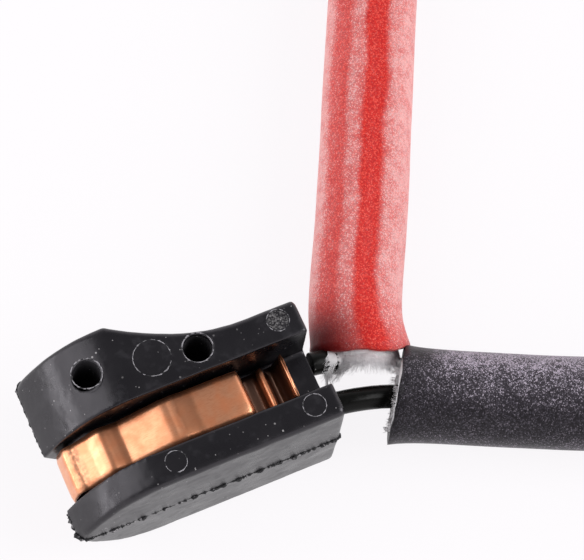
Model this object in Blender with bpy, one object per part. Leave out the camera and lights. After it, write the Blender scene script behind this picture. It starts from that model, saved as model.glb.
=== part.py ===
"""Brake pad wear sensor: a moulded head with a leaf spring, two sleeved leads and a two-way connector.

The head lies flat. +X runs from its round nose to the leads, +Y from the narrow cheek to the wide
one, +Z up. The origin is below the middle of the head, on the surface that it lies on.
"""
import math

import bmesh
import bpy
from mathutils import Matrix, Vector

# Clearance that pieces in contact keep
SEAT = 0.0003
# How far a cutter runs past the face that it opens
OVERCUT = 0.001

# Head, outside
HEAD_LENGTH = 0.0238
HEAD_WIDTH = 0.0150
HEAD_HEIGHT = 0.0130
NOSE_RUN = 0.0087
NOSE_LAND = 0.0003
NOSE_POWER = 2.6
NOSE_STEPS = 10
NOSE_CORNER = 0.0008
REAR_CORNER = 0.0004
CORNER_STEPS = 3
EDGE_RADIUS = 0.0005
EDGE_STEPS = 3
DRAFT = 0.00015
# The wide cheek is at its full width from the nose to the hip, and slims to the waist
HIP_RUN = 0.0081
WAIST_RUN = 0.0188
FLANK_STEPS = 8

# Cheeks, and the slot between them that takes the pad's backing plate
NARROW_CHEEK = 0.0030
SLOT_WIDTH = 0.0050
WIDE_CHEEK_REAR = 0.0032
CORE_THICKNESS = 0.0060
CORE_SETBACK = 0.0020
WEB_THICKNESS = 0.0026
WEB_LENGTH = 0.0069
CORE_STEPS = 12

# Core pin holes of the wide cheek, above and below the conductor
PIN_HOLE = 0.00256
PIN_FLOOR = 0.0012
FRONT_PIN_RUN = 0.0053
FRONT_PIN_INSET = 0.0035
REAR_PIN_RUN = 0.01465
REAR_PIN_INSET = 0.0049

# Leaf spring
SPRING_WIDTH = 0.0042
SPRING_THICKNESS = 0.00025
SPRING_NOSE = 0.00095
SPRING_STEP = 0.0004

# Conductor loop in the wear tip
LOOP_WIRE = 0.0010

# Leads
WIRE = 0.00206
SLEEVE = 0.0082
SLEEVE_WALL = 0.0010
WIRE_LIFT = 0.0004
WIRE_RISE = 0.0010
SLEEVE_STEP = 0.0082
WIRE_STEP = 0.0050
BEND_STEP = 0.0012
SLEEVE_SIDES = 12
# How far each sleeve's mouth is cut from square, in degrees
RED_MOUTH_SLANT = 0.0
BLACK_MOUTH_SLANT = 8.0

# Connector
PLUG_REAR = 0.1265
PLUG_SIDE = 0.0190
PLUG_LENGTH = 0.0250
PLUG_WIDTH = 0.0150
PLUG_HEIGHT = 0.0115
PLUG_EDGE = 0.0008
PITCH = 0.0060
TERMINAL = 0.0024
TERMINAL_LENGTH = 0.0120
TERMINAL_MOUTH = 0.0012
TERMINAL_DEPTH = 0.0070
TERMINAL_RECESS = 0.0010
SEAL = 0.0046
SEAL_LENGTH = 0.0070
SEAL_LIP = 0.0003
COVER_LENGTH = 0.0030
RING_SEAT_DEPTH = 0.0012
RING_SEAT_WIDTH = 0.0026
RING_SEAT_BACK = 0.0050
RING_PROUD = 0.0005
LOCK_LENGTH = 0.0040
LOCK_HEIGHT = 0.0012
LOCK_PROUD = 0.0008
LATCH_WIDTH = 0.0050
LATCH_THICKNESS = 0.0012
LATCH_GAP = 0.0012
LATCH_LENGTH = 0.0150
LATCH_FOOT = 0.0030
LATCH_HOOK = 0.0009

# Places that follow from the sizes
NOSE_X = -HEAD_LENGTH / 2
REAR_X = HEAD_LENGTH / 2
NARROW_Y = -HEAD_WIDTH / 2
WIDE_Y = HEAD_WIDTH / 2
SLOT_LOW = NARROW_Y + NARROW_CHEEK
SLOT_HIGH = SLOT_LOW + SLOT_WIDTH
SLOT_MID = (SLOT_LOW + SLOT_HIGH) / 2
MID_Z = HEAD_HEIGHT / 2
SLEEVE_Z = SLEEVE / 2
SLEEVE_BORE = SLEEVE - 2 * SLEEVE_WALL
WIRE_Z = SLEEVE_Z - SLEEVE_BORE / 2 + WIRE_LIFT + WIRE / 2
PLUG_Z = PLUG_HEIGHT / 2
PLUG_FRONT = PLUG_REAR + COVER_LENGTH + SEAT + PLUG_LENGTH
HOUSING_REAR = PLUG_FRONT - PLUG_LENGTH
RED_WAY = PLUG_SIDE + PITCH / 2
BLACK_WAY = PLUG_SIDE - PITCH / 2
TERMINAL_REAR = PLUG_FRONT - TERMINAL_RECESS - TERMINAL_LENGTH

# Where each lead leaves the head, across the head
RED_EXIT_Y = -0.0005
BLACK_EXIT_Y = -0.0045

# The route of each lead's sleeve, from its open mouth to its end by the connector
RED_ROUTE = [
    (0.01685, -0.0005), (0.0178, 0.0028), (0.0231, 0.0128), (0.0324, 0.03065), (0.0410, 0.0450),
    (0.0525, 0.0541), (0.0670, 0.0560), (0.0810, 0.0495), (0.0900, 0.0385), (0.0980, 0.0290),
    (0.1060, 0.0248), (0.1125, 0.0238),
]
BLACK_ROUTE = [
    (0.0185, -0.0052), (0.0258, -0.0087), (0.0334, -0.0123), (0.0460, -0.0173), (0.0590, -0.0205),
    (0.0720, -0.0190), (0.0820, -0.0115), (0.0895, 0.0002), (0.0965, 0.0090), (0.1045, 0.0133),
    (0.1125, 0.0144),
]
# The bare stretch of each wire between the head and the place inside the sleeve where it lies down
RED_NECK = [
    (0.0138, -0.0007, 0.0061), (0.0149, -0.0009, 0.0051), (0.0159, 0.0005, 0.0043),
    (0.0172, 0.0038, 0.0036),
]
BLACK_NECK = [
    (0.0143, -0.0048, 0.0063), (0.0176, -0.0055, 0.0055), (0.0208, -0.0068, 0.0046),
    (0.0245, -0.0083, 0.0035),
]
# The route of the conductor loop, from the red lead round the wear tip to the black lead
LOOP_ROUTE = [
    (0.0087, 0.0001), (0.0057, 0.00145), (0.00265, 0.0029), (-0.0013, 0.0046), (-0.0048, 0.0057),
    (-0.0079, 0.0054), (-0.0094, 0.0038), (-0.0082, 0.0023), (-0.0050, 0.0019), (-0.0018, 0.0008),
    (0.0022, -0.0018), (0.0067, -0.0040),
]


def clear_scene():
    for thing in list(bpy.data.objects):
        bpy.data.objects.remove(thing, do_unlink=True)


def finish(name, colour, roughness, metallic=0.0):
    """A plain finish with one colour."""
    made = bpy.data.materials.new(name)
    made.use_nodes = True
    shader = made.node_tree.nodes["Principled BSDF"]
    shader.inputs["Base Color"].default_value = (*colour, 1.0)
    shader.inputs["Roughness"].default_value = roughness
    shader.inputs["Metallic"].default_value = metallic
    return made


def add_object(name, mesh, material=None):
    thing = bpy.data.objects.new(name, mesh)
    bpy.context.scene.collection.objects.link(thing)
    if material:
        mesh.materials.append(material)
    return thing


def object_from(name, form, material=None):
    """Turns a bmesh into an object with its faces pointing out."""
    bmesh.ops.recalc_face_normals(form, faces=form.faces)
    mesh = bpy.data.meshes.new(name)
    form.to_mesh(mesh)
    form.free()
    return add_object(name, mesh, material)


def prism(name, outline, low, high, axis="Z", material=None):
    """An outline drawn out between two levels of one axis."""
    form = bmesh.new()
    rings = []
    for level in (low, high):
        if axis == "Z":
            places = [(a, b, level) for a, b in outline]
        elif axis == "Y":
            places = [(a, level, b) for a, b in outline]
        else:
            places = [(level, a, b) for a, b in outline]
        rings.append([form.verts.new(place) for place in places])
    form.faces.new(rings[0])
    form.faces.new(rings[1])
    for i in range(len(outline)):
        j = (i + 1) % len(outline)
        form.faces.new((rings[0][i], rings[0][j], rings[1][j], rings[1][i]))
    return object_from(name, form, material)


def block(name, low, high, material=None):
    outline = [(low[0], low[1]), (high[0], low[1]), (high[0], high[1]), (low[0], high[1])]
    return prism(name, outline, low[2], high[2], "Z", material)


def rounded_rectangle(width, height, corner, steps=3):
    """Corner arcs of a rectangle around its middle, anticlockwise."""
    outline = []
    for quarter in range(4):
        turn = math.pi / 2 * quarter
        side_x = 1 if quarter in (0, 3) else -1
        side_y = 1 if quarter in (0, 1) else -1
        centre = (side_x * (width / 2 - corner), side_y * (height / 2 - corner))
        for step in range(steps + 1):
            angle = turn + math.pi / 2 * step / steps
            outline.append((centre[0] + corner * math.cos(angle), centre[1] + corner * math.sin(angle)))
    return outline


def moved(outline, a, b):
    return [(x + a, y + b) for x, y in outline]


def rod(name, radius, start, end, sides=24, material=None):
    """A round rod between two points."""
    run = Vector(end) - Vector(start)
    form = bmesh.new()
    bmesh.ops.create_cone(
        form, cap_ends=True, segments=sides, radius1=radius, radius2=radius, depth=run.length
    )
    turn = run.to_track_quat("Z", "Y").to_matrix().to_4x4()
    place = Matrix.Translation((Vector(start) + Vector(end)) / 2)
    bmesh.ops.transform(form, matrix=place @ turn, verts=form.verts)
    return object_from(name, form, material)


def combine(target, tool, operation):
    """Cuts or joins one solid with another and takes the tool away."""
    change = target.modifiers.new(operation.lower(), "BOOLEAN")
    change.operation = operation
    change.solver = "EXACT"
    change.object = tool
    bpy.context.view_layer.update()
    graph = bpy.context.evaluated_depsgraph_get()
    mesh = bpy.data.meshes.new_from_object(target.evaluated_get(graph))
    target.modifiers.remove(change)
    target.data = mesh
    bpy.data.objects.remove(tool, do_unlink=True)


def shade_round(thing, degrees=32):
    thing.data.shade_smooth()
    thing.data.set_sharp_from_angle(angle=math.radians(degrees))


def smooth_points(route, step):
    """Evenly spaced points on a smooth curve through a route's own points."""
    places = [Vector(place) for place in route]
    first = places[0] * 2 - places[1]
    last = places[-1] * 2 - places[-2]
    chain = [first, *places, last]
    fine = []
    for i in range(1, len(chain) - 2):
        before, start, end, after = chain[i - 1:i + 3]
        knots = [0.0]
        for a, b in ((before, start), (start, end), (end, after)):
            knots.append(knots[-1] + math.sqrt((b - a).length))
        for k in range(24):
            t = knots[1] + (knots[2] - knots[1]) * k / 24
            fine.append(curve_point(t, knots, before, start, end, after))
    fine.append(places[-1])
    along = [0.0]
    for a, b in zip(fine, fine[1:]):
        along.append(along[-1] + (b - a).length)
    count = max(2, round(along[-1] / step))
    result = []
    at = 0
    for k in range(count + 1):
        goal = along[-1] * k / count
        while at < len(along) - 2 and along[at + 1] < goal:
            at += 1
        share = (goal - along[at]) / (along[at + 1] - along[at])
        result.append(fine[at].lerp(fine[at + 1], share))
    return result


def curve_point(t, knots, before, start, end, after):
    """One point of the centripetal curve between start and end."""
    def blend(a, b, low, high):
        return a * ((high - t) / (high - low)) + b * ((t - low) / (high - low))

    one = blend(before, start, knots[0], knots[1])
    two = blend(start, end, knots[1], knots[2])
    three = blend(end, after, knots[2], knots[3])
    early = blend(one, two, knots[0], knots[2])
    late = blend(two, three, knots[1], knots[3])
    return blend(early, late, knots[1], knots[2])


def tube(name, points, diameter, material=None, resolution=2):
    """A round cord along a chain of points."""
    curve = bpy.data.curves.new(name, "CURVE")
    curve.dimensions = "3D"
    curve.bevel_depth = diameter / 2
    curve.bevel_resolution = resolution
    curve.use_fill_caps = True
    line = curve.splines.new("POLY")
    line.points.add(len(points) - 1)
    for point, place in zip(line.points, points):
        point.co = (*place, 1.0)
    thing = bpy.data.objects.new(name, curve)
    bpy.context.scene.collection.objects.link(thing)
    if material:
        curve.materials.append(material)
    return thing


def tube_solid(name, points, diameter, resolution=2):
    """The same round cord as a mesh, to cut with."""
    cord = tube(name + "_line", points, diameter, None, resolution)
    bpy.context.view_layer.update()
    graph = bpy.context.evaluated_depsgraph_get()
    mesh = bpy.data.meshes.new_from_object(cord.evaluated_get(graph))
    bpy.data.objects.remove(cord, do_unlink=True)
    return add_object(name, mesh)


def hollow_tube(name, points, outside, bore, slant, material):
    """A level tube with a round bore, open at both ends, whose first mouth is cut at a slant."""
    form = bmesh.new()
    loops = []
    for i, place in enumerate(points):
        run = points[min(i + 1, len(points) - 1)] - points[max(i - 1, 0)]
        side = run.cross(Vector((0, 0, 1))).normalized()
        if i == 0:
            side = side - run.normalized() * math.tan(math.radians(slant))
        rings = []
        for radius in (outside / 2, bore / 2):
            ring = []
            for k in range(SLEEVE_SIDES):
                angle = 2 * math.pi * (k + 0.5) / SLEEVE_SIDES
                offset = side * math.cos(angle) + Vector((0, 0, 1)) * math.sin(angle)
                ring.append(form.verts.new(place + offset * radius))
            rings.append(ring)
        loops.append(rings)
    for near, far in zip(loops, loops[1:]):
        for ring in (0, 1):
            for k in range(SLEEVE_SIDES):
                j = (k + 1) % SLEEVE_SIDES
                form.faces.new((near[ring][k], near[ring][j], far[ring][j], far[ring][k]))
    for rings in (loops[0], loops[-1]):
        for k in range(SLEEVE_SIDES):
            j = (k + 1) % SLEEVE_SIDES
            form.faces.new((rings[0][k], rings[0][j], rings[1][j], rings[1][k]))
    thing = object_from(name, form, material)
    shade_round(thing, 40)
    return thing


def turned(name, profile, centre_y, centre_z, sides, material):
    """A ring turned about a line along X from a closed profile of (x, radius)."""
    form = bmesh.new()
    loops = []
    for k in range(sides):
        angle = 2 * math.pi * k / sides
        loops.append([
            form.verts.new((x, centre_y + r * math.cos(angle), centre_z + r * math.sin(angle)))
            for x, r in profile
        ])
    for k in range(sides):
        near, far = loops[k], loops[(k + 1) % sides]
        for i in range(len(profile)):
            j = (i + 1) % len(profile)
            form.faces.new((near[i], near[j], far[j], far[i]))
    thing = object_from(name, form, material)
    shade_round(thing)
    return thing


def arc(centre, radius, start, end, steps):
    places = []
    for step in range(steps + 1):
        angle = math.radians(start + (end - start) * step / steps)
        places.append((centre[0] + radius * math.cos(angle), centre[1] + radius * math.sin(angle)))
    return places


def nose_height(run):
    """Half the head's height at a distance from the nose."""
    share = max(0.0, (NOSE_RUN - run) / NOSE_RUN)
    half = HEAD_HEIGHT / 2
    land = NOSE_LAND / 2
    return land + (half - land) * (1 - share ** NOSE_POWER)


def head_stations():
    """Where the head is cut across, nose first: distance from the nose, inset of both sides, wide side."""
    waist_y = SLOT_HIGH + WIDE_CHEEK_REAR
    stations = []
    for step in range(CORNER_STEPS + 1):
        angle = math.pi / 2 * step / CORNER_STEPS
        run = NOSE_CORNER * (1 - math.cos(angle))
        stations.append((run, NOSE_CORNER * (1 - math.sin(angle)), WIDE_Y))
    for step in range(1, NOSE_STEPS):
        stations.append((NOSE_CORNER + (HIP_RUN - NOSE_CORNER) * step / NOSE_STEPS, 0.0, WIDE_Y))
    pull = (HIP_RUN + WAIST_RUN) / 2 + (WAIST_RUN - HIP_RUN) * 0.05
    for step in range(FLANK_STEPS + 1):
        t = step / FLANK_STEPS
        run = HIP_RUN * (1 - t) ** 2 + pull * 2 * t * (1 - t) + WAIST_RUN * t ** 2
        stations.append((run, 0.0, waist_y + (WIDE_Y - waist_y) * (1 - t) ** 2))
    for step in range(CORNER_STEPS + 1):
        angle = math.pi / 2 * step / CORNER_STEPS
        run = HEAD_LENGTH - REAR_CORNER * (1 - math.sin(angle))
        stations.append((run, REAR_CORNER * (1 - math.cos(angle)), waist_y))
    return stations


def head_section(run, inset, wide):
    """One cut across the head: a ring of points (y, z) with rounded edges and drafted sides."""
    high = nose_height(run)
    if run > HEAD_LENGTH - REAR_CORNER:
        high -= inset
    edge = min(EDGE_RADIUS, 0.9 * high)
    quarter = []
    for step in range(EDGE_STEPS + 1):
        angle = math.pi / 2 * step / EDGE_STEPS
        quarter.append((DRAFT + edge * (1 - math.cos(angle)), high - edge * (1 - math.sin(angle))))
    upper = [(wide - inset, 0.0)] + [(wide - inset - a, b) for a, b in quarter]
    upper += [(NARROW_Y + inset + a, b) for a, b in reversed(quarter)]
    lower = [(NARROW_Y + inset, 0.0)] + [(NARROW_Y + inset + a, -b) for a, b in quarter]
    lower += [(wide - inset - a, -b) for a, b in reversed(quarter)]
    return [(y, MID_Z + z) for y, z in upper + lower]


def core_side():
    """The side view of the core and its rear web, nose first."""
    half = CORE_THICKNESS / 2
    web = WEB_THICKNESS / 2
    web_x = REAR_X - WEB_LENGTH
    centre = (NOSE_X + CORE_SETBACK + half, MID_Z)
    side = [(REAR_X + 2 * OVERCUT, MID_Z + web), (web_x, MID_Z + web), (web_x, MID_Z + half)]
    side += arc(centre, half, 90, 270, CORE_STEPS)
    side += [(web_x, MID_Z - half), (web_x, MID_Z - web), (REAR_X + 2 * OVERCUT, MID_Z - web)]
    return side


def make_head(material):
    """The moulded head: two cheeks, the core and the web, with the slot all round them."""
    form = bmesh.new()
    rings = []
    for run, inset, wide in head_stations():
        section = head_section(run, inset, wide)
        rings.append([form.verts.new((NOSE_X + run, y, z)) for y, z in section])
    form.faces.new(rings[0])
    form.faces.new(rings[-1])
    for near, far_ring in zip(rings, rings[1:]):
        for i in range(len(near)):
            j = (i + 1) % len(near)
            form.faces.new((near[i], near[j], far_ring[j], far_ring[i]))
    head = object_from("head_body", form, material)

    far = 4 * OVERCUT
    ring = [
        (REAR_X + 2 * OVERCUT, MID_Z - WEB_THICKNESS / 2), (REAR_X + 2 * OVERCUT, -far),
        (NOSE_X - far, -far), (NOSE_X - far, HEAD_HEIGHT + far), (REAR_X + 2 * OVERCUT, HEAD_HEIGHT + far),
    ]
    slot = prism("slot", core_side() + ring[1:], SLOT_LOW, SLOT_HIGH, "Y")
    combine(head, slot, "DIFFERENCE")

    for run, inset in ((FRONT_PIN_RUN, FRONT_PIN_INSET), (REAR_PIN_RUN, REAR_PIN_INSET)):
        x, y = NOSE_X + run, WIDE_Y - inset
        for side in (1, -1):
            floor = MID_Z + side * PIN_FLOOR
            mouth = MID_Z + side * (HEAD_HEIGHT / 2 + OVERCUT)
            pin = rod("pin", PIN_HOLE / 2, (x, y, floor), (x, y, mouth), 20)
            combine(head, pin, "DIFFERENCE")

    channel = tube_solid("channel", loop_points(OVERCUT), LOOP_WIRE + 2 * SEAT)
    combine(head, channel, "DIFFERENCE")
    shade_round(head)
    return head


def loop_points(past):
    """The conductor's points, with both ends run past the head's rear face or kept short of it."""
    route = [(REAR_X, RED_EXIT_Y), *LOOP_ROUTE, (REAR_X, BLACK_EXIT_Y)]
    points = smooth_points([(x, y, MID_Z) for x, y in route], 2.2 * LOOP_WIRE)
    for end in (points[0], points[-1]):
        end.x += past
    return points


def spring_line():
    """The upper leg's middle line in the side view: distance from the nose and height above mid."""
    crest = CORE_THICKNESS / 2 + SEAT + SPRING_THICKNESS / 2
    web = WEB_THICKNESS / 2 + SEAT + SPRING_THICKNESS / 2
    drop = HEAD_LENGTH - WEB_LENGTH
    return [
        (SPRING_NOSE, 0.0), (SPRING_NOSE + 0.0002, 0.0009), (SPRING_NOSE + 0.0005, 0.00175),
        (0.00185, 0.0020), (0.0022, 0.00208), (0.00265, 0.00238), (0.00305, 0.00265),
        (0.00345, crest - 0.00053), (0.0039, crest - 0.0001), (0.0043, crest + 0.00022),
        (0.00465, crest + 0.0003), (0.0052, crest + 0.00012), (0.0057, crest), (0.00605, crest),
        (0.0064, crest + 0.00013), (0.0069, crest + 0.00033), (0.0097, crest + 0.00127),
        (0.0100, crest + 0.00132), (0.01035, crest + 0.00132), (0.0108, crest + 0.00141),
        (0.0111, crest + 0.00143), (0.0118, crest + 0.00135), (0.0125, crest + 0.00128),
        (0.0150, crest + 0.00128), (drop - 0.0003, crest + 0.0012), (drop, crest + 0.00112),
        (drop + 0.0002, crest + 0.0008), (drop + 0.0003, crest + 0.0002),
        (drop + 0.00035, web + 0.0010), (drop + 0.00045, web + 0.0004),
        (drop + 0.0008, web + 0.00005), (drop + 0.0014, web), (drop + 0.0018, web + 0.0001),
        (drop + 0.0022, web + 0.00055), (drop + 0.00245, web + 0.00082),
        (drop + 0.00265, web + 0.0006), (drop + 0.00285, web + 0.00012), (drop + 0.0033, web),
        (drop + 0.0036, web + 0.00025), (drop + 0.0039, web + 0.0010),
        (drop + 0.0042, web + 0.0020), (drop + 0.0043, web + 0.0024),
    ]


def make_spring(material):
    """The wavy leaf spring, bent round the core with a leg above and a leg below."""
    upper = [Vector((NOSE_X + run, MID_Z + rise)) for run, rise in spring_line()]
    lower = [Vector((place.x, HEAD_HEIGHT - place.y)) for place in upper[1:]]
    line = list(reversed(upper)) + lower
    smooth = smooth_points([(place.x, 0.0, place.y) for place in line], SPRING_STEP)
    outer, inner = [], []
    for i, place in enumerate(smooth):
        run = smooth[min(i + 1, len(smooth) - 1)] - smooth[max(i - 1, 0)]
        across = Vector((-run.z, 0.0, run.x)).normalized() * (SPRING_THICKNESS / 2)
        outer.append(place - across)
        inner.append(place + across)
    outline = [(place.x, place.z) for place in outer + list(reversed(inner))]
    half = SPRING_WIDTH / 2
    spring = prism("retaining_spring", outline, SLOT_MID - half, SLOT_MID + half, "Y", material)
    shade_round(spring)
    return spring


def make_loop(material):
    """The conductor that the disc wears through, bent round inside the wide cheek."""
    return tube("contact_loop", loop_points(-SEAT / 2), LOOP_WIRE, material)


def sleeve_points(route):
    return smooth_points([(x, y, SLEEVE_Z) for x, y in route], SLEEVE_STEP)


def wire_points(exit_y, neck, route, way_y):
    """A wire's points: out of the head, along its sleeve's floor and into the connector."""
    start = [(REAR_X + SEAT, exit_y, MID_Z)]
    end_x, end_y = route[-1]
    inside = [(x, y, WIRE_Z) for x, y in route[:-1] if x > neck[-1][0] + SLEEVE / 2]
    inside.append((end_x, end_y, WIRE_Z + WIRE_RISE))
    middle = (end_x + PLUG_REAR) / 2
    tail = [
        (middle - WIRE, end_y * 0.6 + way_y * 0.4, WIRE_Z * 0.6 + PLUG_Z * 0.4),
        (PLUG_REAR - WIRE, way_y, PLUG_Z),
        (PLUG_REAR + COVER_LENGTH, way_y, PLUG_Z),
        (TERMINAL_REAR - SEAT, way_y, PLUG_Z),
    ]
    bend = smooth_points(start + neck + inside[:1], BEND_STEP)
    run = smooth_points([bend[-2], *inside, *tail], WIRE_STEP)
    return bend[:-1] + run[1:]


def make_leads(red, black, jacket):
    """Both sleeved leads. Each wire lies in a loose sleeve whose mouth is open at the head."""
    leads = [
        ("red", RED_EXIT_Y, RED_NECK, RED_ROUTE, RED_WAY, RED_MOUTH_SLANT, red),
        ("black", BLACK_EXIT_Y, BLACK_NECK, BLACK_ROUTE, BLACK_WAY, BLACK_MOUTH_SLANT, black),
    ]
    for name, exit_y, neck, route, way, slant, material in leads:
        hollow_tube(name + "_sleeve", sleeve_points(route), SLEEVE, SLEEVE_BORE, slant, material)
        tube(name + "_lead_wire", wire_points(exit_y, neck, route, way), WIRE, jacket)


def make_housing(material):
    """The connector's housing with its two ways, its seal seat and its latch."""
    across = moved(rounded_rectangle(PLUG_WIDTH, PLUG_HEIGHT, PLUG_EDGE), PLUG_SIDE, PLUG_Z)
    housing = prism("connector_housing", across, HOUSING_REAR, PLUG_FRONT, "X", material)
    seat_front = PLUG_FRONT - RING_SEAT_BACK + RING_SEAT_WIDTH
    seat_back = PLUG_FRONT - RING_SEAT_BACK
    whole = rounded_rectangle(PLUG_WIDTH + 4 * OVERCUT, PLUG_HEIGHT + 4 * OVERCUT, PLUG_EDGE)
    belt = prism("belt", moved(whole, PLUG_SIDE, PLUG_Z), seat_back, seat_front, "X")
    waist = rounded_rectangle(PLUG_WIDTH - 2 * RING_SEAT_DEPTH, PLUG_HEIGHT - 2 * RING_SEAT_DEPTH, PLUG_EDGE)
    past = OVERCUT
    inner = prism("inner", moved(waist, PLUG_SIDE, PLUG_Z), seat_back - past, seat_front + past, "X")
    combine(belt, inner, "DIFFERENCE")
    combine(housing, belt, "DIFFERENCE")

    bore_end = HOUSING_REAR + SEAL_LENGTH + SEAT
    half = TERMINAL / 2 + SEAT
    for way in (RED_WAY, BLACK_WAY):
        bore = rod(
            "bore", SEAL / 2 + SEAT, (HOUSING_REAR - OVERCUT, way, PLUG_Z), (bore_end, way, PLUG_Z)
        )
        combine(housing, bore, "DIFFERENCE")
        cavity = block(
            "cavity", (bore_end - OVERCUT, way - half, PLUG_Z - half),
            (PLUG_FRONT + OVERCUT, way + half, PLUG_Z + half),
        )
        combine(housing, cavity, "DIFFERENCE")

    low = lock_low()
    pocket = block(
        "pocket", (lock_rear() - SEAT, PLUG_SIDE - PLUG_WIDTH / 2 - OVERCUT, low - SEAT),
        (lock_rear() + LOCK_LENGTH + SEAT, PLUG_SIDE + PLUG_WIDTH / 2 + OVERCUT, low + LOCK_HEIGHT + SEAT),
    )
    combine(housing, pocket, "DIFFERENCE")

    combine(housing, latch_arm(), "UNION")
    shade_round(housing)
    return housing


def latch_arm():
    """The springy arm on top: a foot at the rear, a level arm and a hook near its free end."""
    top = PLUG_HEIGHT
    under = top + LATCH_GAP
    over = under + LATCH_THICKNESS
    rear = HOUSING_REAR + PLUG_EDGE
    tip = rear + LATCH_LENGTH
    side = [
        (rear, top - OVERCUT), (rear + LATCH_FOOT, top - OVERCUT), (rear + LATCH_FOOT, under),
        (tip, under), (tip, over), (tip - LATCH_FOOT, over + LATCH_HOOK),
        (tip - LATCH_FOOT - LATCH_HOOK, over), (rear, over),
    ]
    return prism("latch", side, PLUG_SIDE - LATCH_WIDTH / 2, PLUG_SIDE + LATCH_WIDTH / 2, "Y")


def lock_low():
    """The underside of the secondary lock, which backs up both terminals from below."""
    return PLUG_Z - TERMINAL / 2 - SEAT - LOCK_HEIGHT


def lock_rear():
    return HOUSING_REAR + SEAL_LENGTH + LOCK_LENGTH


def make_plug_parts(plug, lock, seal, metal):
    """The pieces that the housing holds: cover, secondary lock, seals and terminals."""
    outline = moved(rounded_rectangle(PLUG_WIDTH, PLUG_HEIGHT, PLUG_EDGE), PLUG_SIDE, PLUG_Z)
    cover = prism("rear_cover", outline, PLUG_REAR, PLUG_REAR + COVER_LENGTH, "X", plug)
    for way in (RED_WAY, BLACK_WAY):
        hole = rod(
            "hole", WIRE / 2 + SEAT, (PLUG_REAR - OVERCUT, way, PLUG_Z),
            (PLUG_REAR + COVER_LENGTH + OVERCUT, way, PLUG_Z),
        )
        combine(cover, hole, "DIFFERENCE")
    shade_round(cover)

    half = PLUG_WIDTH / 2
    block(
        "secondary_lock", (lock_rear(), PLUG_SIDE - half, lock_low()),
        (lock_rear() + LOCK_LENGTH, PLUG_SIDE + half + LOCK_PROUD, lock_low() + LOCK_HEIGHT), lock,
    )

    for name, way in (("red", RED_WAY), ("black", BLACK_WAY)):
        turned(name + "_wire_seal", seal_profile(), way, PLUG_Z, 24, seal)
        make_terminal(name + "_terminal", way, metal)
    make_ring_seal(seal)


def seal_profile():
    """Three lips outside and a plain bore that the wire passes through."""
    rear = HOUSING_REAR + SEAT
    front = rear + SEAL_LENGTH - SEAT
    lip = SEAL / 2
    root = lip - SEAL_LIP
    bore = WIRE / 2 + SEAT
    lips = 3
    pitch = (front - rear) / lips
    profile = [(rear, bore)]
    for k in range(lips):
        start = rear + pitch * k
        profile += [
            (start, root), (start + pitch * 0.3, lip),
            (start + pitch * 0.6, lip), (start + pitch * 0.9, root),
        ]
    profile += [(front, root), (front, bore)]
    return profile


def make_terminal(name, way, metal):
    """A box terminal, open at the front, whose rear closes on the wire's end."""
    half = TERMINAL / 2
    front = TERMINAL_REAR + TERMINAL_LENGTH
    terminal = block(
        name, (TERMINAL_REAR, way - half, PLUG_Z - half), (front, way + half, PLUG_Z + half), metal
    )
    mouth = TERMINAL_MOUTH / 2
    slot = block(
        "slot", (front - TERMINAL_DEPTH, way - mouth, PLUG_Z - mouth),
        (front + OVERCUT, way + mouth, PLUG_Z + mouth),
    )
    combine(terminal, slot, "DIFFERENCE")


def make_ring_seal(seal):
    """The seal round the housing's nose."""
    back = PLUG_FRONT - RING_SEAT_BACK + SEAT
    front = PLUG_FRONT - RING_SEAT_BACK + RING_SEAT_WIDTH - SEAT
    grow = 2 * RING_PROUD
    outer = rounded_rectangle(PLUG_WIDTH + grow, PLUG_HEIGHT, PLUG_EDGE + RING_PROUD)
    ring = prism("ring_seal", moved(outer, PLUG_SIDE, PLUG_Z), back, front, "X", seal)
    clear = 2 * RING_SEAT_DEPTH - 2 * SEAT
    inner = rounded_rectangle(PLUG_WIDTH - clear, PLUG_HEIGHT - clear, PLUG_EDGE + SEAT)
    hole = prism("hole", moved(inner, PLUG_SIDE, PLUG_Z), back - OVERCUT, front + OVERCUT, "X")
    combine(ring, hole, "DIFFERENCE")
    shade_round(ring)


def main():
    clear_scene()
    moulding = finish("black_moulding", (0.016, 0.016, 0.020), 0.38)
    bronze = finish("spring_bronze", (0.52, 0.25, 0.12), 0.28, 1.0)
    copper = finish("bare_copper", (0.72, 0.33, 0.18), 0.30, 1.0)
    red = finish("red_silicone", (0.62, 0.035, 0.035), 0.62)
    black = finish("black_silicone", (0.060, 0.055, 0.060), 0.70)
    jacket = finish("wire_jacket", (0.010, 0.010, 0.009), 0.25)
    plug = finish("connector_plastic", (0.030, 0.030, 0.034), 0.45)
    lock = finish("lock_plastic", (0.75, 0.30, 0.05), 0.45)
    seal = finish("seal_rubber", (0.10, 0.16, 0.30), 0.60)
    tin = finish("tinned_brass", (0.70, 0.68, 0.62), 0.30, 1.0)
    make_head(moulding)
    make_spring(bronze)
    make_loop(copper)
    make_leads(red, black, jacket)
    make_housing(plug)
    make_plug_parts(plug, lock, seal, tin)


main()
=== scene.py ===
# %% [markdown]
# # Brake pad wear sensor
# A small moulded head clips onto a brake pad's backing plate. Its soft wear tip carries a loop of wire,
# and when the disc rubs that loop through, the warning lamp comes on. Two leads leave the head in loose
# silicone-coated glass-fibre sleeves and end together in a two-way connector.
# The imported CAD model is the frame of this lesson: it gives every size and place, and the pieces made
# below stand for its nodes with the rounded edges, dust, fibres and finishes of the real thing.

import math
import random

import bmesh
import bpy
import numpy as np
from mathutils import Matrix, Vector, noise


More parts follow.
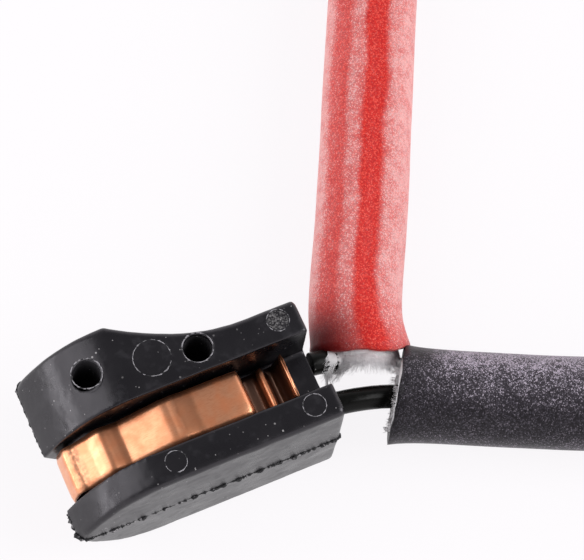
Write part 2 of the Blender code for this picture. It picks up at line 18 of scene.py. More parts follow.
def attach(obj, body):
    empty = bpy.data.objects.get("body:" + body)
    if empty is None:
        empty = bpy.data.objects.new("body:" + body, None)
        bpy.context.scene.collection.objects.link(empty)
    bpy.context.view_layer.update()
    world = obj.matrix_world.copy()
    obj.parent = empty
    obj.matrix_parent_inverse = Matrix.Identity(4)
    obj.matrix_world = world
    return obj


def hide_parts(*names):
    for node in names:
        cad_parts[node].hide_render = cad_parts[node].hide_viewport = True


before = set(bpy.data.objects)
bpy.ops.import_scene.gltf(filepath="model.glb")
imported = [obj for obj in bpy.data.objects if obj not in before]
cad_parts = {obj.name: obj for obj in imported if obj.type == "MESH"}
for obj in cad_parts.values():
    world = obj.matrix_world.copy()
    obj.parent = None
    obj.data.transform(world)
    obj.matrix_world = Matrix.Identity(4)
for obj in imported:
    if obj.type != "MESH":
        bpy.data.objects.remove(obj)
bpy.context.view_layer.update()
MM = 0.001

# %% [markdown]
# ## The camera
# The photograph looks down on the head from the nose's side, about 21 degrees off the vertical, with a
# long lens, so parallel edges stay nearly parallel. The numbers come from matching known corners of the
# head. An empty target could aim the camera, but a plain place and three angles are easier to check.

# %% Place the camera
FOCAL_PIXELS, PICTURE_WIDTH, FILM_WIDTH = 2500.0, 584.0, 36.0
CAMERA_PLACE = (-0.03136879, -0.05879691, 0.20847645)
CAMERA_TURN = (0.3707, -0.0720, -0.4182)
camera_data = bpy.data.cameras.new("photo_camera")
camera_data.sensor_width = FILM_WIDTH
camera_data.lens = FOCAL_PIXELS / PICTURE_WIDTH * FILM_WIDTH
camera_data.clip_start = 0.001
camera = bpy.data.objects.new("photo_camera", camera_data)
camera.location = CAMERA_PLACE
camera.rotation_euler = CAMERA_TURN
bpy.context.scene.collection.objects.link(camera)
bpy.context.scene.camera = camera
bpy.context.scene.view_settings.view_transform = "Standard"
print("camera height in mm:", round(camera.location.z / MM, 1))

# %% [markdown]
# ## The routes of the leads
# Each lead is a 2 mm wire that lies on the floor of a loose 8.2 mm sleeve. A route is a handful of
# points on the table. A centripetal Catmull-Rom curve runs through every point without overshooting at
# tight turns, which a plain Catmull-Rom or a hand-set Bezier curve would not promise.

# %% The routes, in metres
SLEEVE = 8.2 * MM
SLEEVE_BORE = 6.2 * MM
WIRE = 2.06 * MM
SLEEVE_Z = SLEEVE / 2
WIRE_Z = SLEEVE_Z - SLEEVE_BORE / 2 + 0.4 * MM + WIRE / 2
WIRE_RISE = 1.0 * MM
REAR_X = 11.9 * MM
MID_Z = 6.5 * MM
SEAT = 0.3 * MM
PLUG_REAR = 126.5 * MM
PLUG_Z = 5.75 * MM
COVER_LENGTH = 3.0 * MM
TERMINAL_REAR = 141.8 * MM
RED_ROUTE = [
    (0.01725, -0.0005), (0.01825, 0.0028), (0.0235, 0.0128), (0.0327, 0.03065), (0.0410, 0.0450),
    (0.0525, 0.0541), (0.0670, 0.0560), (0.0810, 0.0495), (0.0900, 0.0385), (0.0980, 0.0290),
    (0.1060, 0.0248), (0.1125, 0.0238),
]
BLACK_ROUTE = [
    (0.0185, -0.0052), (0.0258, -0.0087), (0.0334, -0.0123), (0.0460, -0.0173), (0.0590, -0.0205),
    (0.0720, -0.0190), (0.0820, -0.0115), (0.0895, 0.0002), (0.0965, 0.0090), (0.1045, 0.0133),
    (0.1125, 0.0144),
]
RED_NECK = [
    (0.0138, -0.0007, 0.0061), (0.0149, -0.0009, 0.0051), (0.0159, 0.0005, 0.0043),
    (0.0172, 0.0038, 0.0036),
]
BLACK_NECK = [
    (0.0143, -0.0048, 0.0063), (0.0176, -0.0055, 0.0055), (0.0208, -0.0068, 0.0046),
    (0.0245, -0.0083, 0.0035),
]


# %% [markdown]
# A tube needs rings at even steps, but a route's points are far apart. So the curve is first cut very
# finely, and then new points are laid along it at one distance, measured on the curve itself.

# %% A smooth line through a route
CUTS_A_SPAN = 24
def curve_point(t, knots, before, start, end, after):
    """One point of the centripetal curve between start and end."""
    def blend(a, b, low, high):
        return a * ((high - t) / (high - low)) + b * ((t - low) / (high - low))

    one = blend(before, start, knots[0], knots[1])
    two = blend(start, end, knots[1], knots[2])
    three = blend(end, after, knots[2], knots[3])
    early = blend(one, two, knots[0], knots[2])
    late = blend(two, three, knots[1], knots[3])
    return blend(early, late, knots[1], knots[2])


def smooth_line(route, step):
    """Evenly spaced points on a smooth curve through a route's own points."""
    places = [Vector(place) for place in route]
    chain = [places[0] * 2 - places[1], *places, places[-1] * 2 - places[-2]]
    fine = []
    for i in range(1, len(chain) - 2):
        before, start, end, after = chain[i - 1:i + 3]
        knots = [0.0]
        for a, b in ((before, start), (start, end), (end, after)):
            knots.append(knots[-1] + math.sqrt((b - a).length))
        for k in range(CUTS_A_SPAN):
            t = knots[1] + (knots[2] - knots[1]) * k / CUTS_A_SPAN
            fine.append(curve_point(t, knots, before, start, end, after))
    fine.append(places[-1])
    along = [0.0]
    for a, b in zip(fine, fine[1:]):
        along.append(along[-1] + (b - a).length)
    count = max(2, round(along[-1] / step))
    result = []
    at = 0
    for k in range(count + 1):
        goal = along[-1] * k / count
        while at < len(along) - 2 and along[at + 1] < goal:
            at += 1
        share = (goal - along[at]) / (along[at + 1] - along[at])
        result.append(fine[at].lerp(fine[at + 1], share))
    return result


def line_length(points):
    return sum((b - a).length for a, b in zip(points, points[1:]))


# %% [markdown]
# A wire leaves the head at half its height, sinks to the sleeve's floor and rises again to the
# connector. Its ends reach a little way into both mouldings.

# %% The wires' own routes
def wire_line(exit_y, neck, route, way_y, fineness):
    """A wire's points: out of the head, along its sleeve's floor and into the connector."""
    start = [(REAR_X + SEAT, exit_y, MID_Z)]
    end_x, end_y = route[-1]
    inside = [(x, y, WIRE_Z) for x, y in route[:-1] if x > neck[-1][0] + SLEEVE / 2]
    inside.append((end_x, end_y, WIRE_Z + WIRE_RISE))
    middle = (end_x + PLUG_REAR) / 2
    tail = [
        (middle - WIRE, end_y * 0.6 + way_y * 0.4, WIRE_Z * 0.6 + PLUG_Z * 0.4),
        (PLUG_REAR - WIRE, way_y, PLUG_Z),
        (PLUG_REAR + COVER_LENGTH, way_y, PLUG_Z),
        (TERMINAL_REAR - SEAT, way_y, PLUG_Z),
    ]
    bend = smooth_line(start + neck + inside[:1], 1.2 * MM)
    run = smooth_line([bend[-2], *inside, *tail], 5.0 * MM)
    return smooth_line(bend[:-1] + run[1:], fineness)


red_sleeve_line = smooth_line([(x, y, SLEEVE_Z) for x, y in RED_ROUTE], 0.7 * MM)
black_sleeve_line = smooth_line([(x, y, SLEEVE_Z) for x, y in BLACK_ROUTE], 0.7 * MM)
red_wire_line = wire_line(-0.0005, RED_NECK, RED_ROUTE, 0.0220, 0.8 * MM)
black_wire_line = wire_line(-0.0045, BLACK_NECK, BLACK_ROUTE, 0.0160, 0.8 * MM)
for title, line in (("red sleeve", red_sleeve_line), ("black sleeve", black_sleeve_line),
                    ("red wire", red_wire_line), ("black wire", black_wire_line)):
    print(title, "length in mm:", round(line_length(line) / MM, 1))


# %% [markdown]
# ## Helpers for finishes
# Every finish is a node tree round one Principled shader. Small helpers keep the trees short: add makes
# a node and fills its sockets, share turns a value into a clean part between 0 and 1, and between marks
# a band. A value that is the same all over a surface goes straight onto the shader's socket, so other
# programs read it too.

# %% Node helpers
def new_finish(name, colour, roughness, metallic=0.0):
    finish = bpy.data.materials.new(name)
    finish.use_nodes = True
    tree = finish.node_tree
    shader = tree.nodes["Principled BSDF"]
    shader.inputs["Base Color"].default_value = (*colour, 1.0)
    shader.inputs["Roughness"].default_value = roughness
    shader.inputs["Metallic"].default_value = metallic
    return finish, tree, shader


def fill(tree, socket, value):
    if isinstance(value, bpy.types.NodeSocket):
        tree.links.new(value, socket)
    elif isinstance(value, tuple) and socket.type == "RGBA" and len(value) == 3:
        socket.default_value = (*value, 1.0)
    else:
        socket.default_value = value


def add(tree, kind, inputs=(), **settings):
    """A shader node with its settings and, by name or number, its sockets."""
    made = tree.nodes.new("ShaderNode" + kind)
    for key, value in settings.items():
        setattr(made, key, value)
    for key, value in dict(inputs).items():
        fill(tree, made.inputs[key], value)
    return made


def maths(tree, operation, first, second):
    return add(tree, "Math", {0: first, 1: second}, operation=operation).outputs[0]


def times(tree, first, second):
    return maths(tree, "MULTIPLY", first, second)


def plus(tree, first, second):
    return maths(tree, "ADD", first, second)


def larger(tree, first, second):
    return maths(tree, "MAXIMUM", first, second)


def mix(tree, factor, first, second):
    made = add(tree, "Mix", {0: factor, 6: first, 7: second}, data_type="RGBA")
    return made.outputs[2]


def colour_by(tree, shader, value):
    tree.links.new(value, shader.inputs["Base Color"])


def dull_by(tree, shader, value):
    tree.links.new(value, shader.inputs["Roughness"])


# %% [markdown]
# These helpers say where on the part a point is.

# %% Helpers for places
def share(tree, value, low, high):
    """How far a value has gone from low to high, held between 0 and 1."""
    made = add(tree, "MapRange", {0: value, 1: low, 2: high}, interpolation_type="SMOOTHSTEP")
    return made.outputs[0]


def spread(tree, value, low, high, new_low, new_high):
    """A value moved evenly from one range into another, and held there."""
    sockets = {0: value, 1: low, 2: high, 3: new_low, 4: new_high}
    return add(tree, "MapRange", sockets).outputs[0]


def between(tree, value, start, full, fall, end):
    """A band along an axis, in mm: 1 from full to fall, and 0 before start and after end."""
    return times(tree, share(tree, value, start * MM, full * MM), share(tree, value, end * MM, fall * MM))


def place_of(tree):
    return add(tree, "TexCoord").outputs["Object"]


def axis_of(tree, vector, number):
    return add(tree, "SeparateXYZ", {0: vector}).outputs[number]


def distance(tree, first, second):
    return add(tree, "VectorMath", {0: first, 1: second}, operation="DISTANCE").outputs["Value"]


# %% [markdown]
# Noise gives blotches and waves, and a cell pattern gives specks. Both come from the place alone, so
# they need no picture and never blur.

# %% Helpers for patterns
def cloud(tree, size, detail=3.0, where=None, stretch=None):
    """Soft noise whose blotches are about size across, in metres."""
    vector = where or place_of(tree)
    if stretch:
        vector = add(tree, "Mapping", {0: vector, "Scale": stretch}).outputs[0]
    made = add(tree, "TexNoise", {"Vector": vector, "Scale": 1.0 / size, "Detail": detail})
    return made.outputs["Fac"]


def specks(tree, size, odds):
    """Small round specks: cells of one size, of which only a few in a hundred hold a speck."""
    cells = add(tree, "TexVoronoi", {"Vector": place_of(tree), "Scale": 1.0 / size})
    chance = add(tree, "SeparateColor", {0: cells.outputs["Color"]}).outputs[0]
    chosen = maths(tree, "GREATER_THAN", chance, 1.0 - odds)
    return times(tree, chosen, share(tree, cells.outputs["Distance"], 0.30, 0.12))


def bump(tree, shader, height, relief, strength=1.0, edge=0.0):
    """Fine relief in the shading; edge is the radius by which sharp mesh edges look rounded."""
    made = add(tree, "Bump", {"Height": height, "Distance": relief, "Strength": strength})
    if edge > 0.0:
        soft_edge = add(tree, "Bevel", {"Radius": edge}, samples=6)
        tree.links.new(soft_edge.outputs[0], made.inputs["Normal"])
    tree.links.new(made.outputs[0], shader.inputs["Normal"])


# %% [markdown]
# ## The head's sizes
# Both the head's shape and its finish need them, because powder and shade sit at marks and holes.

# %% Sizes of the head, in millimetres
HEAD_LENGTH, HEAD_HEIGHT = 23.8, 13.0
NOSE_X, NARROW_Y, WIDE_Y = -11.9, -7.5, 7.5
NOSE_RUN, NOSE_LAND, NOSE_POWER, NOSE_CORNER = 8.7, 0.3, 2.6, 0.8
HIP_RUN, WAIST_RUN = 8.1, 18.8
SLOT_LOW, SLOT_HIGH, WAIST_Y = -4.5, 0.5, 3.7
REAR_CORNER, EDGE_RADIUS, DRAFT = 0.4, 0.55, 0.15
CORE_THICKNESS, CORE_SETBACK, WEB_THICKNESS, WEB_LENGTH = 6.0, 2.0, 2.6, 6.9
PIN_HOLES = [((-6.6, 4.0), 1.28), ((2.75, 2.6), 1.28)]
EJECTOR_MARKS = [((-1.1, 3.2), 1.60), ((9.9, 2.25), 0.97), ((-2.75, -5.8), 0.92), ((9.7, -5.75), 0.98)]
POWDERED_MARK = EJECTOR_MARKS[1]
print("head in mm:", HEAD_LENGTH, "x", WIDE_Y - NARROW_Y, "x", HEAD_HEIGHT)


# %% [markdown]
# ## Glass-filled black nylon
# The head is injection moulded. Its skin is nearly black and half dull, with slow waves from the flow of
# the plastic, a very fine grain, and a little pale dust. A flat dark colour would lose all of that, so
# noise drives the roughness and the bump, and a speck pattern adds the dust.

# %% The head's colour
moulding_black, tree, shader = new_finish("moulding_black", (0.004, 0.004, 0.005), 0.30)
shader.inputs["IOR"].default_value = 1.57
shader.inputs["Specular Tint"].default_value = (0.97, 0.93, 1.0, 1.0)
spot = place_of(tree)
scuffs = share(tree, cloud(tree, 0.9 * MM, 5.0), 0.52, 0.72)
skin = mix(tree, scuffs, (0.0015, 0.0015, 0.0022), (0.0055, 0.0055, 0.0068))
dusty = share(tree, cloud(tree, 3.0 * MM, 2.0), 0.40, 0.65)
dust = larger(tree, specks(tree, 0.22 * MM, 0.035), specks(tree, 0.40 * MM, 0.02))
dust = times(tree, dust, plus(tree, 0.15, times(tree, dusty, 0.4)))
(mark_x, mark_y), mark_radius = POWDERED_MARK
away = distance(tree, spot, (mark_x * MM, mark_y * MM, HEAD_HEIGHT * MM))
crumbs = share(tree, cloud(tree, 0.16 * MM, 5.0), 0.40, 0.75)
powder = times(tree, share(tree, away, 1.0 * MM, 0.75 * MM), crumbs)
dust = larger(tree, dust, times(tree, powder, 0.3))
colour_by(tree, shader, mix(tree, dust, skin, (0.62, 0.60, 0.60)))
print("powder at the ejector mark of radius", mark_radius, "mm")

# %% [markdown]
# Waves and grain drive the gloss and the relief. A deep narrow hole sends no gleam back to the eye, so
# the pin holes are fully dull.

# %% The head's gloss and relief
waves = cloud(tree, 2.6 * MM, 2.0)
grain = cloud(tree, 0.09 * MM, 2.0)
dull = plus(tree, spread(tree, waves, 0.3, 0.7, 0.25, 0.34), times(tree, scuffs, 0.08))
level = add(tree, "VectorMath", {0: spot, 1: (1.0, 1.0, 0.0)}, operation="MULTIPLY").outputs[0]
in_a_hole = 0.0
for (x, y), opening in PIN_HOLES:
    away = distance(tree, level, (x * MM, y * MM, 0.0))
    in_a_hole = larger(tree, share(tree, away, (opening + 0.05) * MM, opening * MM), in_a_hole)
deep_down = share(tree, axis_of(tree, spot, 2), (HEAD_HEIGHT - 0.25) * MM, (HEAD_HEIGHT - 0.45) * MM)
dull_by(tree, shader, larger(tree, dull, times(tree, in_a_hole, deep_down)))
bump(tree, shader, plus(tree, times(tree, waves, 0.6), times(tree, grain, 0.10)), 0.10 * MM, 0.55)
print("finish made:", moulding_black.name)

# %% [markdown]
# ## Torn and whitened plastic
# Where the mould halves met, a thin fin of plastic squeezed out and was torn off. Torn or rubbed nylon
# turns pale, because its surface scatters light. The same finish serves the ejector marks.

# %% The torn edge's finish
torn_plastic, tree, shader = new_finish("torn_plastic", (0.02, 0.02, 0.022), 0.6)
pale = share(tree, cloud(tree, 0.30 * MM, 4.0), 0.54, 0.66)
colour_by(tree, shader, mix(tree, pale, (0.010, 0.010, 0.012), (0.30, 0.29, 0.30)))
bump(tree, shader, cloud(tree, 0.08 * MM, 2.0), 0.05 * MM, 0.8)
print("finish made:", torn_plastic.name)

# %% [markdown]
# ## The head's shape
# The head is lofted from cross-sections, like the CAD solid but finer: full width at the nose, slimmer
# behind the hip, every edge rounded. The slot for the pad's plate is cut through it with a Boolean, and
# so are the core pin holes. Cut edges come out knife sharp, which no moulding has. So the result is
# turned into small even voxels and relaxed, and that rounds every edge by a few hundredths.

# %% Cross-sections from the nose to the rear
QUARTER_TURN = [math.pi / 2 * step / 6 for step in range(7)]

def nose_height(run):
    reach = max(0.0, (NOSE_RUN - run) / NOSE_RUN)
    return NOSE_LAND / 2 + (HEAD_HEIGHT / 2 - NOSE_LAND / 2) * (1 - reach ** NOSE_POWER)


def head_stations():
    """Where the head is cut across: distance from the nose, inset of both sides, wide side."""
    stations = []
    for angle in QUARTER_TURN:
        stations.append((NOSE_CORNER * (1 - math.cos(angle)), NOSE_CORNER * (1 - math.sin(angle)), WIDE_Y))
    for step in range(1, 40):
        stations.append((NOSE_CORNER + (HIP_RUN - NOSE_CORNER) * step / 40, 0.0, WIDE_Y))
    pull = (HIP_RUN + WAIST_RUN) / 2 + (WAIST_RUN - HIP_RUN) * 0.05
    for step in range(41):
        t = step / 40
        run = HIP_RUN * (1 - t) ** 2 + pull * 2 * t * (1 - t) + WAIST_RUN * t ** 2
        stations.append((run, 0.0, WAIST_Y + (WIDE_Y - WAIST_Y) * (1 - t) ** 2))
    for angle in QUARTER_TURN:
        run = HEAD_LENGTH - REAR_CORNER * (1 - math.sin(angle))
        stations.append((run, REAR_CORNER * (1 - math.cos(angle)), WAIST_Y))
    return stations


def head_section(run, inset, wide):
    """One cut across the head: a ring of (y, z) with rounded edges and drafted sides."""
    high = nose_height(run)
    if run > HEAD_LENGTH - REAR_CORNER:
        high -= inset
    edge = min(EDGE_RADIUS, 0.9 * high)
    quarter = []
    for angle in QUARTER_TURN:
        quarter.append((DRAFT + edge * (1 - math.cos(angle)), high - edge * (1 - math.sin(angle))))
    upper = [(wide - inset, 0.0)] + [(wide - inset - a, b) for a, b in quarter]
    upper += [(NARROW_Y + inset + a, b) for a, b in reversed(quarter)]
    lower = [(NARROW_Y + inset, 0.0)] + [(NARROW_Y + inset + a, -b) for a, b in quarter]
    lower += [(wide - inset - a, -b) for a, b in reversed(quarter)]
    return [(y, HEAD_HEIGHT / 2 + z) for y, z in upper + lower]


# %% [markdown]
# Every piece below starts as rings of points. These helpers join them and turn them into objects.

# %% Mesh helpers
def new_object(name, mesh, finish=None):
    thing = bpy.data.objects.new(name, mesh)
    bpy.context.scene.collection.objects.link(thing)
    if finish:
        mesh.materials.append(finish)
    return thing


def from_form(name, form, finish=None):
    bmesh.ops.recalc_face_normals(form, faces=form.faces)
    mesh = bpy.data.meshes.new(name)
    form.to_mesh(mesh)
    form.free()
    mesh.polygons.foreach_set("use_smooth", [True] * len(mesh.polygons))
    return new_object(name, mesh, finish)


def skin_rings(form, rings, close_ends=True):
    """Faces between rings of vertices that follow each other, with a lid on each end."""
    for near, far in zip(rings, rings[1:]):
        for i in range(len(near)):
            j = (i + 1) % len(near)
            form.faces.new((near[i], near[j], far[j], far[i]))
    if close_ends:
        form.faces.new(rings[0])
        form.faces.new(rings[-1])


def baked(thing):
    """The mesh as it is after its modifiers, kept, and the modifiers gone."""
    bpy.context.view_layer.update()
    graph = bpy.context.evaluated_depsgraph_get()
    mesh = bpy.data.meshes.new_from_object(thing.evaluated_get(graph), depsgraph=graph)
    old = thing.data
    thing.modifiers.clear()
    thing.data = mesh
    bpy.data.meshes.remove(old)


def cut_away(thing, cutter):
    cut = thing.modifiers.new("cut", "BOOLEAN")
    cut.operation = "DIFFERENCE"
    cut.solver = "EXACT"
    cut.object = cutter
    baked(thing)
    bpy.data.objects.remove(cutter, do_unlink=True)


# %% [markdown]
# The slot's cutter is the side view of all that is neither core nor web, pushed through between the
# cheeks. Each pin hole is cut by a round rod, from above and below.

# %% Loft the head, cut the slot and the pin holes
BEHIND, IN_FRONT, BELOW, ABOVE = 13.9, NOSE_X - 4, -4.0, 17.0
PIN_RODS = ((7.7, 14.0), (-1.0, 5.3))
ROD_SHRINK = 0.10
form = bmesh.new()
skin_rings(form, [[form.verts.new((NOSE_X + run, y, z)) for y, z in head_section(run, inset, wide)]
                  for run, inset, wide in head_stations()])
head = from_form("sensor_head", form)

core = CORE_THICKNESS / 2
web = WEB_THICKNESS / 2
web_x = -NOSE_X - WEB_LENGTH
middle = HEAD_HEIGHT / 2
centre_x = NOSE_X + CORE_SETBACK + core
side = [(BEHIND, middle + web), (web_x, middle + web), (web_x, middle + core)]
side += [(centre_x + core * math.cos(a), middle + core * math.sin(a))
         for a in np.linspace(math.pi / 2, 3 * math.pi / 2, 40)]
side += [(web_x, middle - core), (web_x, middle - web), (BEHIND, middle - web)]
side += [(BEHIND, BELOW), (IN_FRONT, BELOW), (IN_FRONT, ABOVE), (BEHIND, ABOVE)]
form = bmesh.new()
skin_rings(form, [[form.verts.new((x, y, z)) for x, z in side] for y in (SLOT_LOW, SLOT_HIGH)])
cut_away(head, from_form("slot", form))

for (x, y), opening in PIN_HOLES:
    radius = opening - ROD_SHRINK
    for low, high in PIN_RODS:
        form = bmesh.new()
        rings = [[form.verts.new((x + radius * math.cos(a), y + radius * math.sin(a), z))
                  for a in np.linspace(0, 2 * math.pi, 48, endpoint=False)] for z in (low, high)]
        skin_rings(form, rings)
        cut_away(head, from_form("pin", form))
print("head cut:", len(head.data.polygons), "faces")

# %% [markdown]
# After the relaxing, each point moves along its normal by a few hundredths of a millimetre, since a
# moulded face is never quite flat.

# %% Turn it into even voxels and relax it
VOXEL = 0.15
grid = head.modifiers.new("even", "REMESH")
grid.mode = "VOXEL"
grid.voxel_size = VOXEL
grid.use_smooth_shade = True
relax = head.modifiers.new("relax", "SMOOTH")
relax.factor = 0.5
relax.iterations = 2
baked(head)


def flow_marks(place):
    """The slow unevenness of a moulded face, in millimetres."""
    return 0.035 * noise.noise(place * 0.45) + 0.012 * noise.noise(place * 1.7)


points = np.empty(len(head.data.vertices) * 3)
normals = np.empty(len(head.data.vertices) * 3)
head.data.vertices.foreach_get("co", points)
head.data.vertex_normals.foreach_get("vector", normals)
points, normals = points.reshape(-1, 3), normals.reshape(-1, 3)
waves = np.array([flow_marks(Vector(point)) for point in points])
head.data.vertices.foreach_set("co", ((points + normals * waves[:, None]) * MM).ravel())
head.data.update()
head.data.materials.clear()
head.data.materials.append(moulding_black)
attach(head, "root")
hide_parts("head_body")
print("head faces after the remesh:", len(head.data.polygons))


# %% [markdown]
# ## The parting line
# The mould opens up and down, so a ragged fin runs round the head at half its height. It is a thin
# closed ridge that follows the head's outline, and noise makes it come and go. A bump map could hint at
# it, but at the silhouette only real geometry breaks the line.

# %% A ragged ridge along a line
FIN_STEP = 0.12
def ragged_ridge(name, line, outward, reach, thick, seed, finish):
    form = bmesh.new()
    rings = []
    for i, (place, away) in enumerate(zip(line, outward)):
        spot = place / MM
        rough = noise.noise(spot * 2.3 + Vector((seed, 0, 0))) + 0.7 * noise.noise(spot * 7.0)
        fin = reach * max(0.05, 0.45 + 0.9 * rough)
        lift = thick * (0.75 + 0.6 * noise.noise(spot * 3.1 + Vector((0, seed, 0))))
        sway = Vector((0, 0, 0.10 * MM * noise.noise(spot * 1.3)))
        up = Vector((0, 0, lift))
        base = place - away * 0.12 * MM + sway
        rings.append([form.verts.new(base + up), form.verts.new(place + away * fin * 0.6 + up * 0.6 + sway),
                      form.verts.new(place + away * fin + sway),
                      form.verts.new(place + away * fin * 0.6 - up * 0.6 + sway), form.verts.new(base - up)])
    skin_rings(form, rings)
    thing = from_form(name, form, finish)
    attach(thing, "root")
    return thing


def outline_run(points):
    """Even points along corner points, one fin step apart, and the way out at each."""
    line = [Vector((x * MM, y * MM, MID_Z)) for x, y in points]
    fine = []
    for a, b in zip(line, line[1:]):
        count = max(1, round((b - a).length / (FIN_STEP * MM)))
        fine += [a.lerp(b, k / count) for k in range(count)]
    fine.append(line[-1])
    outward = []
    for i in range(len(fine)):
        run = fine[min(i + 3, len(fine) - 1)] - fine[max(i - 3, 0)]
        outward.append(Vector((run.y, -run.x, 0)).normalized())
    return fine, outward


# %% [markdown]
# Both runs of the fin start and end at the slot. The narrow cheek's fin sticks out further.

# %% Both runs of the fin
side_points = [(NOSE_X + run, NARROW_Y + inset) for run, inset, wide in head_stations()]
narrow_side = [(NOSE_X, SLOT_LOW - 0.25)] + side_points + [(REAR_X / MM, SLOT_LOW - 1.4)]
wide_points = [(NOSE_X + run, wide - inset) for run, inset, wide in head_stations()]
wide_side = [(REAR_X / MM, SLOT_HIGH + 0.4)] + wide_points[::-1] + [(NOSE_X, SLOT_HIGH + 0.25)]
for name, corners, reach, thick, seed in (("flash_narrow_side", narrow_side, 0.26, 0.11, 3.1),
                                          ("flash_wide_side", wide_side, 0.12, 0.08, 8.7)):
    flash = ragged_ridge(name, *outline_run(corners), reach * MM, thick * MM, seed, torn_plastic)
    print(name, "vertices:", len(flash.data.vertices))

# %% [markdown]
# ## Ejector marks
# Round pins pushed the warm head out of the mould and left four shallow circles on top. Each is a fine
# broken ridge, because the rim of a pin mark tears where the plastic stuck to it. The mouths of the two
# pin holes have the same torn rim.

# %% The pale rim's finish
rim_pale, tree, shader = new_finish("rim_pale", (0.2, 0.2, 0.2), 0.65)
broken = share(tree, cloud(tree, 0.35 * MM, 3.0), 0.40, 0.58)
colour_by(tree, shader, mix(tree, broken, (0.012, 0.012, 0.014), (0.30, 0.29, 0.31)))

# %% Broken rings round the marks and the holes
RIM_STEP = 0.07
def ring_mark(name, centre, radius, top, seed):
    form = bmesh.new()
    rings = []
    count = int(2 * math.pi * radius / RIM_STEP)
    for i in range(count):
        angle = 2 * math.pi * i / count
        spot = Vector((math.cos(angle), math.sin(angle), 0))
        rough = noise.noise(spot * radius * 1.6 + Vector((seed, seed, 0)))
        fine = noise.noise(spot * radius * 6.0 + Vector((seed, 0, 0)))
        high = max(0.0, 0.016 + 0.045 * rough + 0.02 * fine)
        wide = 0.045 + 0.035 * max(0.0, rough + fine)
        middle_point = Vector((centre[0], centre[1], top)) + spot * (radius + 0.03 * fine)
        corners = [(-wide, -0.06), (-wide * 0.5, high), (wide * 0.5, high), (wide, -0.06)]
        rings.append([form.verts.new((middle_point + spot * a + Vector((0, 0, b))) * MM) for a, b in corners])
    rings.append(rings[0])
    skin_rings(form, rings, close_ends=False)
    mark = from_form(name, form, rim_pale)
    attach(mark, "root")
    return mark


for number, (centre, radius) in enumerate(EJECTOR_MARKS):
    ring_mark(f"ejector_ring_{number + 1}", centre, radius, HEAD_HEIGHT, 4.3 * number + 1.7)
for number, (centre, radius) in enumerate(PIN_HOLES):
    ring_mark(f"pin_hole_rim_{number + 1}", centre, radius + 0.03, HEAD_HEIGHT - 0.03, 9.1 * number + 5.2)
print("rims made:", len(EJECTOR_MARKS) + len(PIN_HOLES))

# %% [markdown]
# ## The leaf spring
# One strip of bronze, a quarter of a millimetre thick, is folded round the core. Its two legs carry a
# wave that presses against the pad's plate. It was stamped and rolled, so it has a fine grain along its
# length, stains, and a slightly domed cross-section whose edges catch the light.

# %% The bright bronze
spring_bronze, tree, shader = new_finish("spring_bronze", (0.93, 0.36, 0.16), 0.30, 1.0)
spot = place_of(tree)
length_way, height_way = axis_of(tree, spot, 0), axis_of(tree, spot, 2)
grain = cloud(tree, 0.05 * MM, 3.0, spot, (0.10, 1.0, 0.10))
stain = cloud(tree, 1.3 * MM, 4.0)
tone = mix(tree, share(tree, stain, 0.40, 0.68), (0.95, 0.43, 0.22), (0.87, 0.32, 0.14))
tone = mix(tree, share(tree, grain, 0.45, 0.75), tone, (0.82, 0.29, 0.125))
# A darker, rougher mottled band just behind the nose bend.
at_nose = between(tree, length_way, -10.4, -10.0, -9.6, -9.0)
dark_nose_mottle = times(tree, share(tree, cloud(tree, 0.32 * MM, 5.0), 0.30, 0.72), at_nose)
tone = mix(tree, times(tree, dark_nose_mottle, 0.85), tone, (0.36, 0.165, 0.085))

# %% [markdown]
# Brown bands of painted shade, with wandering edges, lie on the falling slopes after the two bends. The folds
# behind the drop get darker painted shade still, as a shadowed recess, except on their small crest.

# %% Painted shade on the strip
wander = times(tree, maths(tree, "SUBTRACT", cloud(tree, 1.2 * MM, 3.0), 0.5), 0.5 * MM)
bend_place = plus(tree, length_way, wander)
# Painted shade: darker brown where the strip falls away after each bend.
first_bend_shade = between(tree, bend_place, -7.5, -6.7, -5.75, -5.55)
second_bend_shade = between(tree, bend_place, -0.9, -0.6, 0.6, 1.1)
tone = mix(tree, times(tree, larger(tree, first_bend_shade, second_bend_shade), 0.65), tone, (0.42, 0.155, 0.065))
# Painted shade: the sunk folds behind the drop are darkened as a shadowed recess, all but their small crest.
sunk = share(tree, height_way, 10.6 * MM, 9.9 * MM)
behind = times(tree, sunk, share(tree, length_way, 5.0 * MM, 5.6 * MM))
crest_top = share(tree, height_way, 8.60 * MM, 8.80 * MM)
unshaded_crest = times(tree, between(tree, length_way, 6.95, 7.15, 7.5, 7.75), crest_top)
behind = times(tree, behind, maths(tree, "SUBTRACT", 1.0, unshaded_crest))
tone = mix(tree, times(tree, behind, 0.92), tone, (0.10, 0.045, 0.026))
colour_by(tree, shader, tone)
rough = plus(tree, spread(tree, stain, 0.35, 0.7, 0.33, 0.42), times(tree, dark_nose_mottle, 0.15))
dull_by(tree, shader, rough)
bump(tree, shader, plus(tree, grain, times(tree, stain, 1.5)), 0.012 * MM, 0.35)
shader.inputs["Coat Weight"].default_value = 0.9
shader.inputs["Coat Roughness"].default_value = 0.30
print("finish made:", spring_bronze.name)

# %% [markdown]
# The middle line of the upper leg is drawn from the side and mirrored for the lower leg. Each of its
# points gets one flat ring across the strip.

# %% The strip's side view
SPRING_WIDTH, SPRING_THICKNESS, SPRING_NOSE, SLOT_MID = 4.2, 0.25, 0.95, -2.0
SPRING_GAP, POINTS_ACROSS, EDGE_SHARE = 0.3, 9, 0.06


